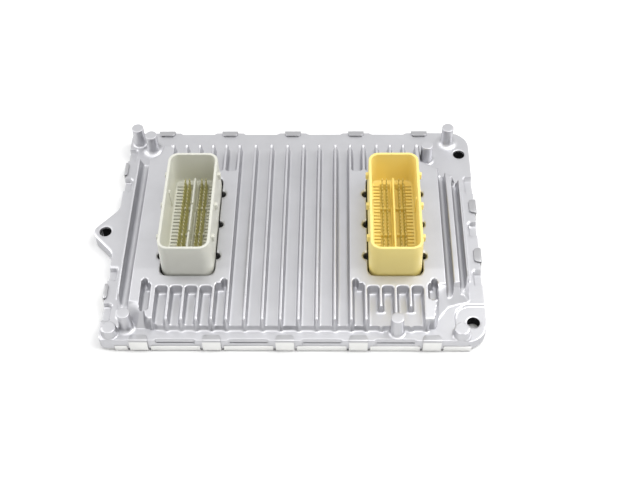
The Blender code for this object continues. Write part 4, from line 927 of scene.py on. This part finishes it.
finishes = {
    # fibreglass laminate under glossy green solder mask
    "board": surfaceMaterial("solderMaskedLaminate", "#123B22", "#18492B", driftSize=6.0, grainSize=0.4,
                             roughness=0.3, roughSpread=0.04, bump=0.1, ior=1.5),
    # moulded epoxy filled with silica: matt black
    "package": surfaceMaterial("mouldedEpoxy", "#1B1B1D", "#242427", driftSize=2.0, grainSize=0.1,
                               roughness=0.55, roughSpread=0.08, bump=0.2, ior=1.55),
    # pressed ferrite powder: dark grey and dry
    "ferrite": surfaceMaterial("pressedFerrite", "#3A3A3C", "#4A4A4C", driftSize=1.5, grainSize=0.15,
                               roughness=0.65, roughSpread=0.08, bump=0.3, bumpHeight=0.02, ior=1.6),
    # deep drawn aluminium can: bright and smooth
    "can": surfaceMaterial("drawnAluminiumCan", "#C9CACC", "#D6D7D9", driftSize=3.0, grainSize=0.2,
                           roughness=0.25, bump=0.05, metallic=1.0),
    # cold headed steel under clear zinc: cool grey
    "screw": surfaceMaterial("zincPlatedSteel", "#A9ABAF", "#BDBFC3", driftSize=1.5, grainSize=0.15,
                             roughness=0.35, roughSpread=0.06, bump=0.1, metallic=1.0),
    # filled silicone gap pad: pale blue and soft
    "pad": surfaceMaterial("siliconeGapPad", "#9FB0C0", "#AFC0CE", driftSize=3.0, grainSize=0.3,
                           roughness=0.75, roughSpread=0.08, bump=0.3, bumpHeight=0.03, ior=1.41),
    "sealant": blackSealant, "casting": castAluminium, "sheet": sheetAluminium,
    "grey_plastic": greyPlastic, "yellow_plastic": yellowPlastic,
}
for subpart in frame["record"]["subparts"]:
    node = frame["nodes"][subpart["node"]]
    node.data.materials.clear()
    node.data.materials.append(finishes[subpart["material_slot"]])
print("finished", len(frame["nodes"]), "CAD nodes")


# Floor, light and camera: places in metres, angles in radians, the lens in millimetres

studio = {
    "floorSize": 6.0, "floorDrop": 0.0004, "floorColour": "#FFFFFF", "floorBounce": "#F0F0F0",
    "worldLight": 0.31,
    # name: (place, side of the square, watts); each faces the part
    "softboxes": {
        "keySoftbox": ((0.62, 0.0, 0.76), 0.75, 7.0),
        "fillSoftbox": ((-0.80, 0.12, 0.55), 0.7, 3.8),
        "topSoftbox": ((0.0, -0.12, 0.90), 0.8, 2.8),
    },
}
camera = {
    "lens": 59.284, "sensor": 36.0, "place": (0.02369262, -0.362237939, 0.443850002),
    "pitch": 0.888067, "yaw": 0.030069, "roll": 0.022872,
}


def seenDirectly(tree):
    # 1 for rays from the camera, off a gloss or through glass, 0 for the light that falls on surfaces
    path = addNode(tree, "ShaderNodeLightPath").outputs
    first = addNode(tree, "ShaderNodeMath", {0: path["Is Camera Ray"], 1: path["Is Glossy Ray"]},
                    operation="MAXIMUM")
    return addNode(tree, "ShaderNodeMath", {0: first.outputs[0], 1: path["Is Transmission Ray"]},
                   operation="MAXIMUM").outputs[0]


def buildFloor():
    half, level = studio["floorSize"] / 2.0, -studio["floorDrop"]
    mesh = bpy.data.meshes.new("floor")
    corners = [(-half, -half, level), (half, -half, level), (half, half, level), (-half, half, level)]
    mesh.from_pydata(corners, [], [(0, 1, 2, 3)])
    floor = addObject("floor", mesh)
    # matt white paper that shows white and lends the part a softer grey light
    material, tree, shader, _ = startMaterial("mattWhitePaper")
    colour = mixColours(tree, seenDirectly(tree), hexColour(studio["floorBounce"]),
                        hexColour(studio["floorColour"]))
    tree.links.new(colour, shader.inputs["Base Color"])
    shader.inputs["Roughness"].default_value = 1.0
    shader.inputs["Specular IOR Level"].default_value = 0.0
    mesh.materials.append(material)


def buildLight():
    world = bpy.data.worlds.new("paleStudio")
    bpy.context.scene.world = world
    world.use_nodes = True
    tree = world.node_tree
    background = tree.nodes["Background"]
    strength = addNode(tree, "ShaderNodeMapRange", {
        "Value": seenDirectly(tree), "To Min": studio["worldLight"], "To Max": 1.0})
    background.inputs["Color"].default_value = (1.0, 1.0, 1.0, 1.0)
    tree.links.new(strength.outputs["Result"], background.inputs["Strength"])
    for name, (place, size, watts) in studio["softboxes"].items():
        light = bpy.data.lights.new(name, "AREA")
        light.shape = "RECTANGLE"
        light.size = light.size_y = size
        light.energy = watts
        back = place / np.linalg.norm(place)
        side = np.cross((0.0, 1.0, 0.0), back)
        side = side / np.linalg.norm(side)
        rows = np.column_stack([side, np.cross(back, side), back, place]).tolist()
        addObject(name, light).matrix_world = Matrix((*rows, (0.0, 0.0, 0.0, 1.0)))


def buildCamera():
    # looks down by the pitch, turned by the yaw about the vertical and by the roll about its own axis
    lens = bpy.data.cameras.new("photoCamera")
    lens.lens = camera["lens"]
    lens.sensor_width = camera["sensor"]
    lens.sensor_fit = "HORIZONTAL"
    lens.clip_start = 0.01
    view = addObject("photoCamera", lens)
    view.matrix_world = Matrix.Translation(camera["place"]) @ Matrix.Rotation(camera["yaw"], 4, "Z") \
        @ Matrix.Rotation(math.pi / 2.0 - camera["pitch"], 4, "X") @ Matrix.Rotation(-camera["roll"], 4, "Z")
    bpy.context.scene.camera = view


buildFloor()
buildLight()
buildCamera()
bpy.context.scene.view_settings.view_transform = "Standard"
print("studio ready")
